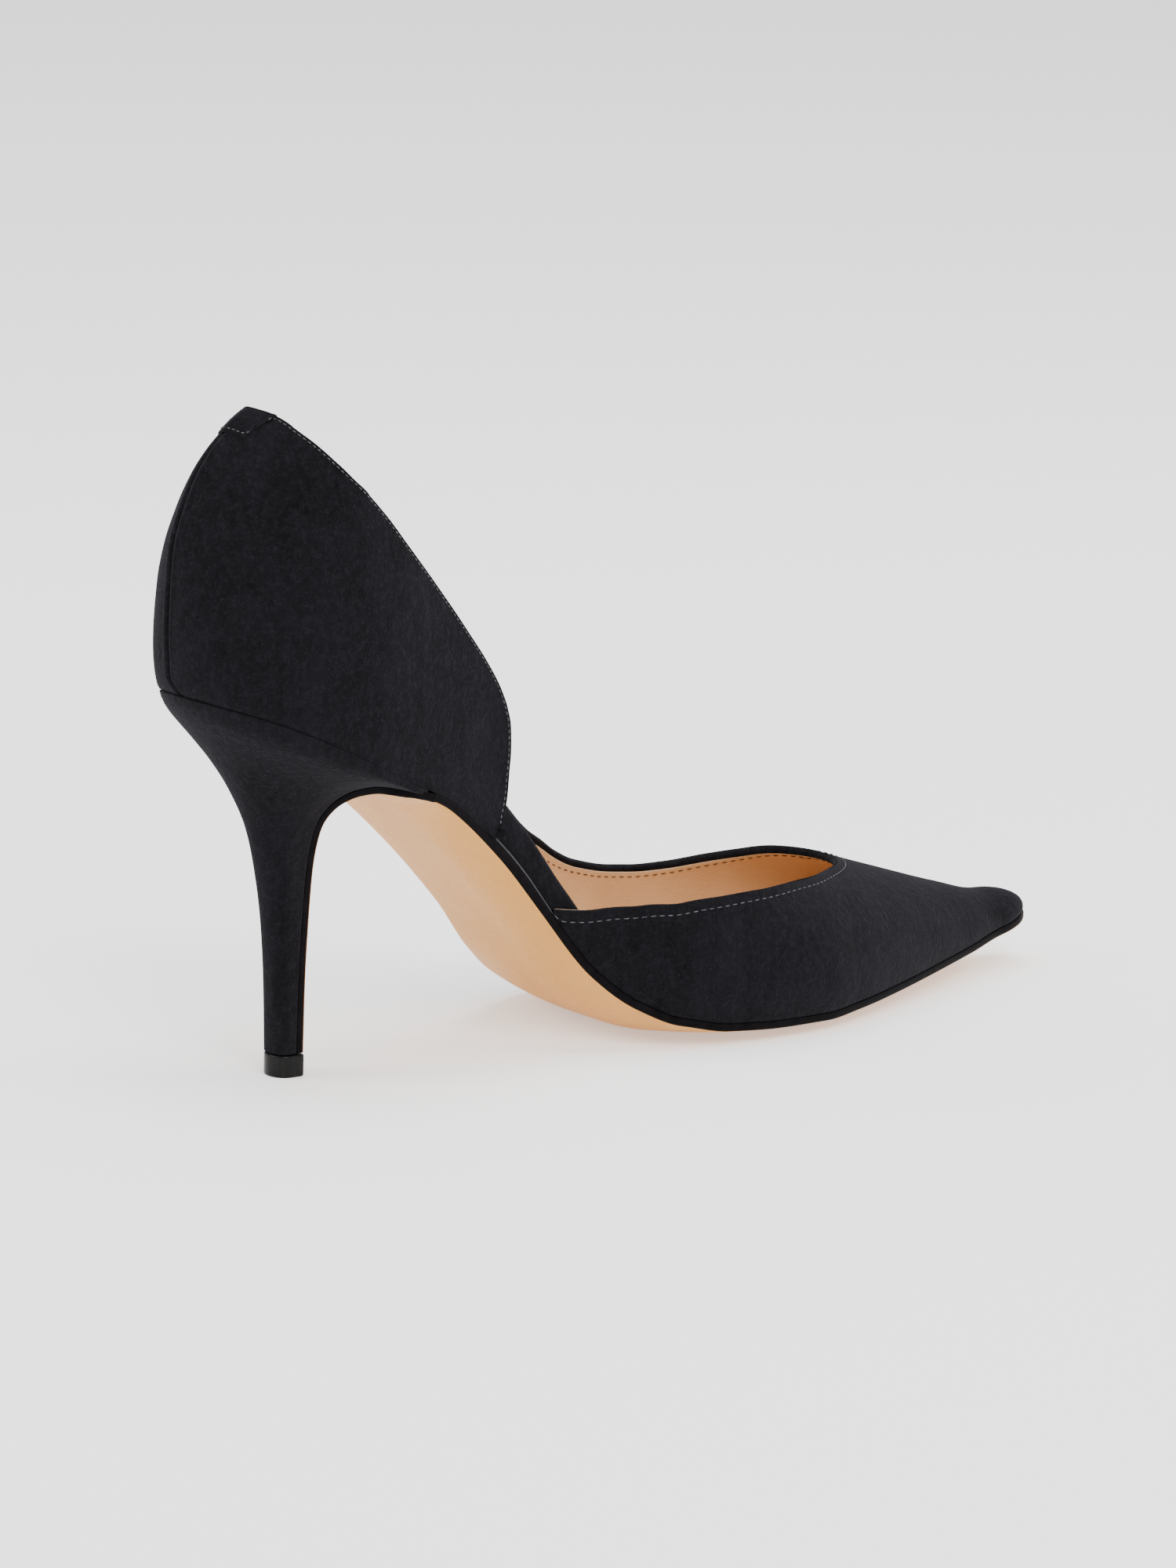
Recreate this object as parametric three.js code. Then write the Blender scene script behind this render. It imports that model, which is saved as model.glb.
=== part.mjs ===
// A woman's left pump with one open side: a pointed toe, a low-cut vamp whose inner side is cut away to
// the sole at the waist, a high back, and a slim covered heel. The outer side is closed from throat to back.
//
// Frame, in millimetres: +X to the toe, +Y to the wearer's left (the outer side), +Z up. The origin is at the
// middle of the shoe's outline on the floor. It stands on its top piece and on the flat tread of its sole.
//
// The last gives every form. Its bed is the surface that the upper's lower edge, the insole, the outsole and
// the heel's seat all lie along, and each wall point is found from the bed's outline and from a crest curve.

import * as THREE from 'three';

// Driving dimensions
const lastLength = 238.5; // along the floor, from the back of the heel seat to the toe's tip
const ballWidth = 72; // across the bed at the ball
const heelHeight = 88; // from the floor to the back of the bed
const crestHeight = 80; // the last's highest crest above its bed
const soleThickness = 1.8; // outsole leather
const upperWall = 1.8; // suede with its lining
const insoleThickness = 3.2; // at the heel and the forefoot
const waistThickness = 7.5; // the wrapped insole where the inner side lies open
const topPieceHeight = 5; // the hard cap under the heel
const topPieceOverhang = 0.25; // by which the cap stands out round the heel's end
const tabThickness = 1; // the small suede patch over the back seam's upper end
const tabWidth = 13;
const tabDrop = 6.5; // how far the patch reaches down from the topline
const seam = 0.3; // the clearance between two pieces that touch
const endRise = (topPieceHeight + seam) / heelHeight; // of the heel's end, share of heelHeight
const bareMargin = 0.9; // between the bare insole's edge and the upper's corners
const bareRamp = 1.2; // over which that edge runs out from inside the upper to the sole's edge

// Heights and widths of the last, from the back of the seat to the toe's tip.
// along: share of lastLength. bed: height of its middle, share of heelHeight over the sole. inner, outer: half
// widths, shares of ballWidth. crest: height over the bed, share of crestHeight. innerRise, outerRise: how far
// the bed's edges curl up, shares of ballWidth.
const lastTable = [
  { along: 0.0, bed: 1.0, inner: 0.34, outer: 0.34, crest: 0.94, innerRise: 0.0, outerRise: 0.0 },
  { along: 0.06, bed: 0.945, inner: 0.34, outer: 0.34, crest: 0.955, innerRise: 0.0, outerRise: 0.0 },
  { along: 0.125, bed: 0.865, inner: 0.34, outer: 0.34, crest: 0.98, innerRise: 0.0, outerRise: 0.0 },
  { along: 0.16, bed: 0.816, inner: 0.338, outer: 0.34, crest: 0.99, innerRise: 0.0, outerRise: 0.0 },
  { along: 0.2, bed: 0.752, inner: 0.325, outer: 0.335, crest: 1.0, innerRise: 0.01, outerRise: 0.0 },
  { along: 0.26, bed: 0.617, inner: 0.29, outer: 0.32, crest: 0.99, innerRise: 0.072, outerRise: 0.012 },
  { along: 0.32, bed: 0.457, inner: 0.262, outer: 0.31, crest: 0.955, innerRise: 0.09, outerRise: 0.016 },
  { along: 0.37, bed: 0.304, inner: 0.27, outer: 0.312, crest: 0.9, innerRise: 0.073, outerRise: 0.02 },
  { along: 0.415, bed: 0.148, inner: 0.314, outer: 0.345, crest: 0.84, innerRise: 0.063, outerRise: 0.03 },
  { along: 0.455, bed: 0.055, inner: 0.37, outer: 0.4, crest: 0.77, innerRise: 0.066, outerRise: 0.038 },
  { along: 0.495, bed: 0.01, inner: 0.423, outer: 0.45, crest: 0.7, innerRise: 0.062, outerRise: 0.042 },
  { along: 0.54, bed: 0.0, inner: 0.462, outer: 0.473, crest: 0.645, innerRise: 0.046, outerRise: 0.042 },
  { along: 0.6, bed: 0.0, inner: 0.487, outer: 0.473, crest: 0.575, innerRise: 0.038, outerRise: 0.038 },
  { along: 0.65, bed: 0.0, inner: 0.482, outer: 0.445, crest: 0.505, innerRise: 0.036, outerRise: 0.034 },
  { along: 0.7, bed: 0.012, inner: 0.445, outer: 0.4, crest: 0.428, innerRise: 0.03, outerRise: 0.028 },
  { along: 0.76, bed: 0.03, inner: 0.377, outer: 0.345, crest: 0.34, innerRise: 0.02, outerRise: 0.018 },
  { along: 0.83, bed: 0.048, inner: 0.285, outer: 0.255, crest: 0.252, innerRise: 0.014, outerRise: 0.013 },
  { along: 0.9, bed: 0.066, inner: 0.19, outer: 0.175, crest: 0.167, innerRise: 0.011, outerRise: 0.01 },
  { along: 0.955, bed: 0.088, inner: 0.12, outer: 0.118, crest: 0.102, innerRise: 0.008, outerRise: 0.008 },
  { along: 1.0, bed: 0.112, inner: 0.1, outer: 0.1, crest: 0.082, innerRise: 0.005, outerRise: 0.005 },
];

// The back's own curve: how far it leans to the toe at a share of the crest's height, in shares of the
// distance from the back to heelCentre. It bulges a little, then comes in at the top. ridge, side: powers of
// its outline from above at the back's middle and at its sides. It is round at the seat and pinched at the top.
const backTable = [
  { rise: 0.0, lean: 0.0, ridge: 2.05, side: 2.05 },
  { rise: 0.08, lean: -0.016, ridge: 2.05, side: 2.05 },
  { rise: 0.2, lean: -0.022, ridge: 1.95, side: 2.05 },
  { rise: 0.32, lean: -0.016, ridge: 1.8, side: 2.02 },
  { rise: 0.43, lean: 0.006, ridge: 1.62, side: 1.96 },
  { rise: 0.54, lean: 0.072, ridge: 1.45, side: 1.88 },
  { rise: 0.63, lean: 0.157, ridge: 1.33, side: 1.8 },
  { rise: 0.72, lean: 0.292, ridge: 1.22, side: 1.72 },
  { rise: 0.77, lean: 0.41, ridge: 1.17, side: 1.68 },
  { rise: 0.81, lean: 0.52, ridge: 1.15, side: 1.65 },
];

// The toplines: height over the bed as a share of the crest's, at shares of lastLength. The quarter's starts
// at the back and ends where its wall lines begin to lean to the open waist.
const throatAlong = 0.757;
const outerTopline = [
  { along: 0.0, share: 0.785 },
  { along: 0.005, share: 0.79 },
  { along: 0.021, share: 0.795 },
  { along: 0.044, share: 0.775 },
  { along: 0.071, share: 0.75 },
  { along: 0.108, share: 0.71 },
  { along: 0.16, share: 0.64 },
  { along: 0.21, share: 0.57 },
  { along: 0.27, share: 0.515 },
  { along: 0.333, share: 0.5 },
  { along: 0.396, share: 0.555 },
  { along: 0.43, share: 0.605 },
  { along: 0.454, share: 0.633 },
  { along: 0.48, share: 0.63 },
  { along: 0.507, share: 0.61 },
  { along: 0.533, share: 0.567 },
  { along: 0.559, share: 0.532 },
  { along: 0.59, share: 0.521 },
  { along: 0.623, share: 0.545 },
  { along: 0.66, share: 0.624 },
  { along: 0.692, share: 0.73 },
  { along: 0.715, share: 0.824 },
  { along: 0.735, share: 0.93 },
  { along: throatAlong, share: 1.0 },
];
const vampTopline = [
  { along: 0.374, share: 0.015 },
  { along: 0.384, share: 0.061 },
  { along: 0.4, share: 0.142 },
  { along: 0.42, share: 0.24 },
  { along: 0.44, share: 0.327 },
  { along: 0.476, share: 0.455 },
  { along: 0.517, share: 0.557 },
  { along: 0.552, share: 0.614 },
  { along: 0.596, share: 0.679 },
  { along: 0.652, share: 0.784 },
  { along: 0.7, share: 0.878 },
  { along: 0.735, share: 0.95 },
  { along: throatAlong, share: 1.0 },
];
const quarterTopline = [
  { along: 0.0, share: 0.785 },
  { along: 0.005, share: 0.793 },
  { along: 0.021, share: 0.804 },
  { along: 0.034, share: 0.8 },
  { along: 0.044, share: 0.795 },
  { along: 0.071, share: 0.781 },
  { along: 0.108, share: 0.757 },
  { along: 0.138, share: 0.741 },
  { along: 0.16, share: 0.74 },
];

// The inner quarter's wall lines, from the back's end to its front corner at the sole. foot and head: where a
// line stands on the bed and where it meets the topline, shares of lastLength. share: as in the toplines.
const quarterLines = [
  { foot: 0.16, head: 0.16, share: 0.74 },
  { foot: 0.176, head: 0.178, share: 0.702 },
  { foot: 0.192, head: 0.197, share: 0.659 },
  { foot: 0.21, head: 0.22, share: 0.62 },
  { foot: 0.228, head: 0.244, share: 0.584 },
  { foot: 0.246, head: 0.272, share: 0.55 },
  { foot: 0.262, head: 0.297, share: 0.528 },
  { foot: 0.274, head: 0.311, share: 0.505 },
  { foot: 0.283, head: 0.3195, share: 0.468 },
  { foot: 0.29, head: 0.3232, share: 0.413 },
  { foot: 0.2955, head: 0.3228, share: 0.342 },
  { foot: 0.3, head: 0.3208, share: 0.268 },
  { foot: 0.3035, head: 0.3192, share: 0.19 },
  { foot: 0.306, head: 0.316, share: 0.11 },
  { foot: 0.308, head: 0.309, share: 0.02 },
];

// The patch's lower edge, which has two lobes that meet on the seam. reach: from its middle, 0, to its end, 1.
// drop: its depth, share of tabDrop.
const tabTable = [
  { reach: 0.0, drop: 0.82 },
  { reach: 0.33, drop: 1.0 },
  { reach: 0.7, drop: 0.75 },
  { reach: 1.0, drop: 0.12 },
];

// The breast: the outsole's inner face where it leaves the bed, turns over and runs down the heel's front.
// x, z: shares of lastLength and heelHeight. half: half width, share of ballWidth.
const breastTable = [
  { x: 0.225, z: 0.702, half: 0.33 },
  { x: 0.2145, z: 0.723, half: 0.325 },
  { x: 0.204, z: 0.738, half: 0.31 },
  { x: 0.192, z: 0.7455, half: 0.23 },
  { x: 0.179, z: 0.743, half: 0.165 },
  { x: 0.1675, z: 0.728, half: 0.127 },
  { x: 0.1575, z: 0.697, half: 0.101 },
  { x: 0.148, z: 0.645, half: 0.082 },
  { x: 0.1405, z: 0.545, half: 0.068 },
  { x: 0.1355, z: 0.4, half: 0.06 },
  { x: 0.133, z: 0.23, half: 0.056 },
  { x: 0.132, z: endRise, half: 0.055 },
];

// The heel's rings from the seat down to its end. backX, backZ: the ring's rearmost point, shares of
// lastLength and heelHeight. breast: how far along the breast its front lies. half: its half width, share of
// ballWidth. widest: how far along the ring it is widest.
const heelTable = [
  { backX: 0.0045, backZ: 0.984, breast: 0.18, half: 0.336, widest: 0.82 },
  { backX: 0.0115, backZ: 0.952, breast: 0.27, half: 0.314, widest: 0.79 },
  { backX: 0.029, backZ: 0.897, breast: 0.33, half: 0.265, widest: 0.74 },
  { backX: 0.05, backZ: 0.825, breast: 0.4, half: 0.2, widest: 0.7 },
  { backX: 0.071, backZ: 0.737, breast: 0.49, half: 0.142, widest: 0.65 },
  { backX: 0.089, backZ: 0.63, breast: 0.6, half: 0.098, widest: 0.6 },
  { backX: 0.099, backZ: 0.52, breast: 0.71, half: 0.077, widest: 0.55 },
  { backX: 0.1065, backZ: 0.38, breast: 0.82, half: 0.063, widest: 0.55 },
  { backX: 0.1105, backZ: 0.23, breast: 0.91, half: 0.058, widest: 0.55 },
  { backX: 0.1125, backZ: endRise, breast: 1.0, half: 0.057, widest: 0.55 },
];

const heelCentre = 0.16 * lastLength; // the upright axis that the back's wall lines turn about
const toeCentre = 0.955 * lastLength; // the same for the toe's tip
const heelPower = 2.05; // of the seat's outline behind its axis
const toePower = 2.2; // of the tip's outline before its axis
const sectionPower = 2.1; // of a wall section's curve, 2 for an ellipse
const widestShare = 0.22; // how far up the crest's height a section is widest
const flatShare = 0.2; // how much of the bed's half width is flat before it curls up

// A smooth curve through a table's rows: monotone between them, so that it never overshoots.
function track(rows, key, column) {
  const x = rows.map((row) => row[key]);
  const y = rows.map((row) => row[column]);
  const slope = x.slice(1).map((next, i) => (y[i + 1] - y[i]) / (next - x[i]));
  const tangent = x.map((_, i) => {
    if (i === 0) return slope[0];
    if (i === x.length - 1) return slope[i - 1];
    if (slope[i - 1] * slope[i] <= 0) return 0;
    return (2 * slope[i - 1] * slope[i]) / (slope[i - 1] + slope[i]);
  });
  return (at) => {
    const clamped = Math.min(Math.max(at, x[0]), x[x.length - 1]);
    let i = 0;
    while (i < x.length - 2 && clamped > x[i + 1]) i += 1;
    const width = x[i + 1] - x[i];
    const t = (clamped - x[i]) / width;
    const u = 1 - t;
    const level = y[i] * u * u * (1 + 2 * t) + y[i + 1] * t * t * (3 - 2 * t);
    return level + width * t * u * (tangent[i] * u - tangent[i + 1] * t);
  };
}

// One such curve for each column named. Rows without a key of their own are spread evenly from 0 to 1.
function tracks(rows, columns, key = 'at') {
  const keyed = rows.map((row, i) => ({ at: i / (rows.length - 1), ...row }));
  return Object.fromEntries(columns.map((column) => [column, track(keyed, key, column)]));
}

const steps = (count) => Array.from({ length: count + 1 }, (_, i) => i / count);
const between = (a, b, t) => a + (b - a) * t;
const share = (x) => x / lastLength;
const point = (x, y, z) => new THREE.Vector3(x, y, z);

const INNER = -1;
const OUTER = 1;
const last = tracks(lastTable, ['bed', 'inner', 'outer', 'crest', 'innerRise', 'outerRise'], 'along');

function roundEnd(t, power) {
  return Math.pow(Math.max(0, 1 - Math.pow(Math.min(1, t), power)), 1 / power);
}

// The bed's half width at x on one side, less an inset that is measured square to the outline. Round ends
// close it at the heel and the toe.
function halfWidth(x, side, inset = 0) {
  const column = side === INNER ? last.inner : last.outer;
  const straight = Math.min(Math.max(x, heelCentre), toeCentre);
  const slope = ballWidth * (column(share(straight + 1)) - column(share(straight - 1))) / 2;
  const width = ballWidth * column(share(x)) - inset * Math.hypot(1, slope);
  if (x < heelCentre) return width * roundEnd((heelCentre - x) / (heelCentre - inset), heelPower);
  if (x > toeCentre) return width * roundEnd((x - toeCentre) / (lastLength - inset - toeCentre), toePower);
  return width;
}

// How much higher the bed is at a point than on its middle line: flat, then curling up to its edges.
function curl(x, y) {
  const side = y < 0 ? INNER : OUTER;
  const rise = ballWidth * (side === INNER ? last.innerRise : last.outerRise)(share(x));
  const reach = Math.min(1, Math.abs(y) / Math.max(halfWidth(x, side), 1e-6));
  return rise * Math.pow(Math.max(0, (reach - flatShare) / (1 - flatShare)), 2);
}

function bedHeight(x, y) {
  return soleThickness + (heelHeight - soleThickness) * last.bed(share(x)) + curl(x, y);
}

const onBed = (x, y) => point(x, y, bedHeight(x, y));
const bedSlope = (x) => (bedHeight(x + 1, 0) - bedHeight(x - 1, 0)) / 2;

// The crest over a foot point, so that both sides meet at one height on the centre line.
function crestOver(x, foot) {
  return bedHeight(x, 0) + crestHeight * last.crest(share(x)) - bedHeight(foot.x, foot.y);
}

// Where a ray from an upright axis on the centre line meets the bed's outline.
function outlineOnRay(axisX, angle) {
  const side = Math.sin(angle) < 0 ? INNER : OUTER;
  let near = 0;
  let far = lastLength;
  for (let step = 0; step < 50; step += 1) {
    const middle = (near + far) / 2;
    const x = axisX + middle * Math.cos(angle);
    const inside = x > 0 && x < lastLength && Math.abs(middle * Math.sin(angle)) < halfWidth(x, side);
    if (inside) near = middle;
    else far = middle;
  }
  return { x: axisX + near * Math.cos(angle), y: near * Math.sin(angle) };
}

// A section's narrowing at a share of its crest's height, 1 at the bed and 0 at the crest.
function narrowing(rise) {
  const at = (height) => roundEnd(Math.abs(height - widestShare) / (1 - widestShare), sectionPower);
  return at(Math.min(1, Math.max(0, rise))) / at(0);
}

// The height over foot, a point of the bed's outline, at a share of the crest's height there. A wall's lower
// edge stands off the bed by the seam's clearance, measured square to its slope.
function wallHeight(foot, rise, crest) {
  const lift = seam * Math.hypot(1, bedSlope(foot.x));
  return bedHeight(foot.x, foot.y) + lift + (crest - lift) * rise;
}

// A point of the last's surface over foot, drawn in to the upright line at axisX by reach.
function wallPoint(foot, axisX, reach, rise, crest) {
  return point(axisX + (foot.x - axisX) * reach, foot.y * reach, wallHeight(foot, rise, crest));
}

// A triangle mesh built up from rows of points. Points at one place are one vertex.
class Skin {
  constructor() {
    this.points = [];
    this.faces = [];
    this.known = new Map();
  }

  vertex(p) {
    const key = [p.x, p.y, p.z].map((v) => Math.round(v * 1e4)).join(',');
    if (!this.known.has(key)) {
      this.known.set(key, this.points.length);
      this.points.push(p.clone());
    }
    return this.known.get(key);
  }

  face(a, b, c) {
    if (a !== b && b !== c && a !== c) this.faces.push([a, b, c]);
  }

  // Quads between neighbouring rows, which have as many points each. Each is cut along its shorter diagonal.
  rows(rows) {
    const index = rows.map((row) => row.map((p) => this.vertex(p)));
    for (let i = 0; i + 1 < index.length; i += 1) {
      for (let j = 0; j + 1 < index[i].length; j += 1) {
        const [a, b, c, d] = [index[i][j], index[i + 1][j], index[i + 1][j + 1], index[i][j + 1]];
        const first = this.points[a].distanceTo(this.points[c]);
        const second = this.points[b].distanceTo(this.points[d]);
        if (first <= second) {
          this.face(a, b, c);
          this.face(a, c, d);
        } else {
          this.face(a, b, d);
          this.face(b, c, d);
        }
      }
    }
    return this;
  }

  normals() {
    const normals = this.points.map(() => new THREE.Vector3());
    for (const [a, b, c] of this.faces) {
      const ab = this.points[b].clone().sub(this.points[a]);
      const ac = this.points[c].clone().sub(this.points[a]);
      const normal = ab.cross(ac);
      for (const i of [a, b, c]) normals[i].add(normal);
    }
    return normals.map((n) => n.normalize());
  }

  // The skin moved along its normals, away from where its faces look if distance is negative.
  moved(distance) {
    const skin = new Skin();
    const normals = this.normals();
    skin.points = this.points.map((p, i) => p.clone().addScaledVector(normals[i], distance));
    skin.faces = this.faces.map((face) => [...face]);
    return skin;
  }

  // A closed solid between this skin, which faces out, and a like skin behind it.
  closedWith(back) {
    const shift = this.points.length;
    const faces = [...this.faces, ...back.faces.map(([a, b, c]) => [a + shift, c + shift, b + shift])];
    const edges = new Set(this.faces.flatMap(([a, b, c]) => [`${a} ${b}`, `${b} ${c}`, `${c} ${a}`]));
    for (const edge of edges) {
      const [a, b] = edge.split(' ').map(Number);
      if (edges.has(`${b} ${a}`)) continue;
      faces.push([b, a, a + shift], [b, a + shift, b + shift]);
    }
    return toGeometry([...this.points, ...back.points], faces);
  }

  thickened(thickness) {
    return this.closedWith(this.moved(-thickness));
  }

  // The skin lifted square to the bed's side view, by a height that may depend on x.
  lifted(height) {
    const skin = new Skin();
    const normals = this.normals().map((n) => n.setY(0).normalize());
    skin.points = this.points.map((p, i) => p.clone().addScaledVector(normals[i], height(p.x)));
    skin.faces = this.faces.map((face) => [...face]);
    return skin;
  }

  closed() {
    return toGeometry(this.points, this.faces);
  }
}

function toGeometry(points, faces) {
  const geometry = new THREE.BufferGeometry();
  geometry.setAttribute('position', new THREE.Float32BufferAttribute(points.flatMap((p) => [p.x, p.y, p.z]), 3));
  geometry.setIndex(faces.flat());
  geometry.computeVertexNormals();
  return geometry;
}

// Upper: one wall from the vamp's inner corner round the toe, the outer side and the back to the quarter's
// front corner. Each wall line runs from the bed up to the topline, or to the centre line before the throat.
const wallSteps = steps(8);
const throatX = throatAlong * lastLength;
const vampCorner = vampTopline[0].along * lastLength;
const outerShare = track(outerTopline, 'along', 'share');
const vampShare = track(vampTopline, 'along', 'share');
const quarterShare = track(quarterTopline, 'along', 'share');
const back = tracks(backTable, ['lean', 'ridge', 'side'], 'rise');
const quarter = tracks(quarterLines, ['foot', 'head', 'share']);
const tabEdge = track(tabTable, 'reach', 'drop');

// A line on one side, whose foot and head stand at their own places along the last.
function sideLine(footX, headX, side, top) {
  return wallSteps.map((t) => {
    const x = between(footX, headX, t);
    const foot = { x, y: side * halfWidth(x, side) };
    return wallPoint(foot, x, narrowing(t * top), t * top, crestOver(x, foot));
  });
}

const topShare = (x, topline) => (x < throatX ? topline(share(x)) : 1);
const innerVampLine = (x) => sideLine(x, x, INNER, topShare(x, vampShare));
const outerLine = (x) => sideLine(x, x, OUTER, topShare(x, outerShare));

function toeLine(angle) {
  const foot = outlineOnRay(toeCentre, angle);
  return wallSteps.map((t) => wallPoint(foot, toeCentre, narrowing(t), t, crestOver(toeCentre, foot)));
}

// A point of the back at a share of its crest's height. turn goes from a quarter turn at the outer side to
// none at the back's middle and a quarter turn at the inner side. The outline there narrows from the seat's.
function backFoot(turn) {
  const x = heelCentre * (1 - Math.pow(Math.cos(turn), 2 / heelPower));
  return { x, y: Math.sign(turn) * halfWidth(x, turn < 0 ? INNER : OUTER) };
}

function backPoint(turn, rise) {
  const foot = backFoot(turn);
  const side = turn < 0 ? INNER : OUTER;
  const length = heelCentre * (1 - back.lean(rise));
  const half = halfWidth(heelCentre, side) * narrowing(rise);
  const x = heelCentre - length * Math.pow(Math.cos(turn), 2 / back.side(rise));
  const y = side * half * Math.pow(Math.abs(Math.sin(turn)), 2 / back.ridge(rise));
  return point(x, y, wallHeight(foot, rise, crestOver(foot.x, foot)));
}

function backTop(turn) {
  return (turn > 0 ? outerShare : quarterShare)(share(backFoot(turn).x));
}

const backLine = (turn) => wallSteps.map((t) => backPoint(turn, t * backTop(turn)));

function quarterLine(t) {
  return sideLine(quarter.foot(t) * lastLength, quarter.head(t) * lastLength, INNER, quarter.share(t));
}

// Stations crowd towards the throat, where the topline turns.
function vampStations() {
  const behind = steps(18).map((t) => between(vampCorner, throatX, 1 - (1 - t) * (1 - t)));
  const before = steps(8).slice(1).map((t) => between(throatX, toeCentre, t));
  return [...behind, ...before];
}

function upperGeometry() {
  const stations = vampStations();
  const waist = steps(13).slice(0, -1).map((t) => between(heelCentre, vampCorner, t));
  const lines = [
    ...stations.map((x) => innerVampLine(x)),
    ...steps(12).slice(1, -1).map((t) => toeLine(between(-Math.PI / 2, Math.PI / 2, t))),
    ...[...waist, ...stations].reverse().map((x) => outerLine(x)),
    ...steps(24).slice(1, -1).map((t) => backLine(between(Math.PI / 2, -Math.PI / 2, t))),
    ...steps(18).map((t) => quarterLine(t)),
  ];
  return new Skin().rows(lines).thickened(upperWall);
}

// The patch over the back seam, standing off the upper by the seam's clearance. Its lower edge is scalloped.
function backTabGeometry() {
  const crest = crestHeight * last.crest(0);
  const halfTurn = tabHalfTurn();
  const lines = steps(12).map((t) => {
    const turn = between(halfTurn, -halfTurn, t);
    const top = backTop(turn);
    const drop = tabDrop * tabEdge(Math.abs(2 * t - 1));
    return steps(5).map((s) => backPoint(turn, between(top - drop / crest, top, s)));
  });
  const skin = new Skin().rows(lines);
  return skin.moved(seam + tabThickness).closedWith(skin.moved(seam));
}

// The turn at which the topline is half the patch's width from the back's middle.
function tabHalfTurn() {
  const middle = backPoint(0, backTop(0));
  const turns = steps(200).map((t) => (t * Math.PI) / 2);
  return turns.find((turn) => backPoint(turn, backTop(turn)).distanceTo(middle) >= tabWidth / 2);
}

// Plates along the bed. A row of points crosses it at x, from the inner side to the outer.
const acrossSteps = steps(10).map((t) => 2 * t - 1);
function bedRow(x, innerInset, outerInset) {
  return acrossSteps.map((across) => {
    const side = across < 0 ? INNER : OUTER;
    const inset = side === INNER ? innerInset : outerInset;
    const y = across * halfWidth(x, side, inset);
    return onBed(x, y);
  });
}

// Stations that crowd towards a round end.
const towardsStart = (from, to, count) => steps(count).map((t) => between(from, to, 1 - Math.cos((t * Math.PI) / 2)));
const towardsEnd = (from, to, count) => steps(count).map((t) => between(from, to, Math.sin((t * Math.PI) / 2)));

// Insole: inside the upper's wall, but out to the sole's edge where the inner side lies open.
const insoleDepth = track(
  [
    { along: 0.2, thickness: insoleThickness },
    { along: 0.29, thickness: waistThickness },
    { along: 0.35, thickness: waistThickness },
    { along: 0.5, thickness: insoleThickness },
    { along: 0.85, thickness: insoleThickness },
    { along: 0.95, thickness: insoleThickness / 2 },
  ],
  'along',
  'thickness',
);
const bareFrom = Math.max(...quarterLines.map((row) => row.head)) * lastLength + bareMargin;
const bareTo = vampCorner - bareMargin;

function insoleGeometry() {
  const inset = upperWall + seam;
  const bare = [bareFrom, bareFrom + bareRamp, (bareFrom + bareTo) / 2, bareTo - bareRamp, bareTo];
  const stations = [
    ...towardsStart(inset, heelCentre, 7),
    ...steps(8).slice(1, -1).map((t) => between(heelCentre, bareFrom, t)),
    ...bare,
    ...steps(28).slice(1, -1).map((t) => between(bareTo, toeCentre, t)),
    ...towardsEnd(toeCentre, lastLength - inset, 4),
  ];
  const innerInset = (x) => (x > bareFrom && x < bareTo ? seam : inset);
  const bed = new Skin().rows(stations.map((x) => bedRow(x, innerInset(x), inset)));
  return bed.lifted((x) => seam + insoleDepth(share(x))).closedWith(bed.lifted(() => seam));
}

// Breast: the outsole's flap on the heel's front, and the heel's own front behind it.
const breast = tracks(breastTable, ['x', 'z', 'half']);
const heel = tracks(heelTable, ['backX', 'backZ', 'breast', 'half', 'widest']);
const ringSteps = steps(20);

// A point of the breast's middle line, moved off it by a clearance to the heel's side.
function breastPoint(t, clearance) {
  const delta = 1e-3;
  const at = (s) => point(breast.x(s) * lastLength, 0, breast.z(s) * heelHeight);
  const tangent = at(Math.min(1, t + delta)).sub(at(Math.max(0, t - delta))).normalize();
  return at(t).add(point(tangent.z, 0, -tangent.x).multiplyScalar(clearance));
}

function breastRow(t, clearance) {
  const middle = breastPoint(t, clearance);
  const half = breast.half(t) * ballWidth;
  const curled = Math.max(0, 1 - t / heelTable[1].breast);
  return acrossSteps.map((across) => {
    const y = across * half;
    return point(middle.x, y, middle.z + curled * curl(middle.x, y));
  });
}

function outsoleGeometry() {
  const flapStart = breastTable[0].x * lastLength;
  const stations = [
    ...towardsEnd(toeCentre, lastLength, 5).reverse(),
    ...steps(44).slice(1, -1).reverse().map((t) => between(flapStart, toeCentre, t)),
  ];
  const turn = steps(5).slice(0, -1).map((t) => t * heelTable[0].breast);
  const down = ringSteps.map((t) => heel.breast(t));
  const rows = [
    ...stations.map((x) => bedRow(x, 0, 0)),
    ...[...turn, ...down].map((t) => breastRow(t, 0)),
  ];
  const inside = new Skin().rows(rows.reverse());
  return inside.closedWith(inside.lifted(() => -soleThickness));
}

// Heel: a seat that lies along the bed, and rings from there down to its end. A ring runs from the inner
// front corner round the back to the outer one, then across its front.
const halfRing = (widest) => [
  ...steps(7).map((t) => widest * (1 - Math.pow(Math.cos((t * Math.PI) / 2), 2 / heelPower))),
  ...steps(3).slice(1).map((t) => between(widest, 1, t)),
];

function ringSide(places) {
  return [...places].reverse().map((place) => place(INNER)).concat(places.slice(1).map((place) => place(OUTER)));
}

function seatRing(frontX) {
  const places = halfRing(heelCentre / frontX).map((along) => (side) => {
    const x = along * frontX;
    const y = side * halfWidth(x, side);
    return onBed(x, y);
  });
  const front = acrossSteps.slice(1, -1).reverse().map((across) => {
    const y = across * halfWidth(frontX, across < 0 ? INNER : OUTER);
    return onBed(frontX, y);
  });
  return [...ringSide(places), ...front];
}

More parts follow.
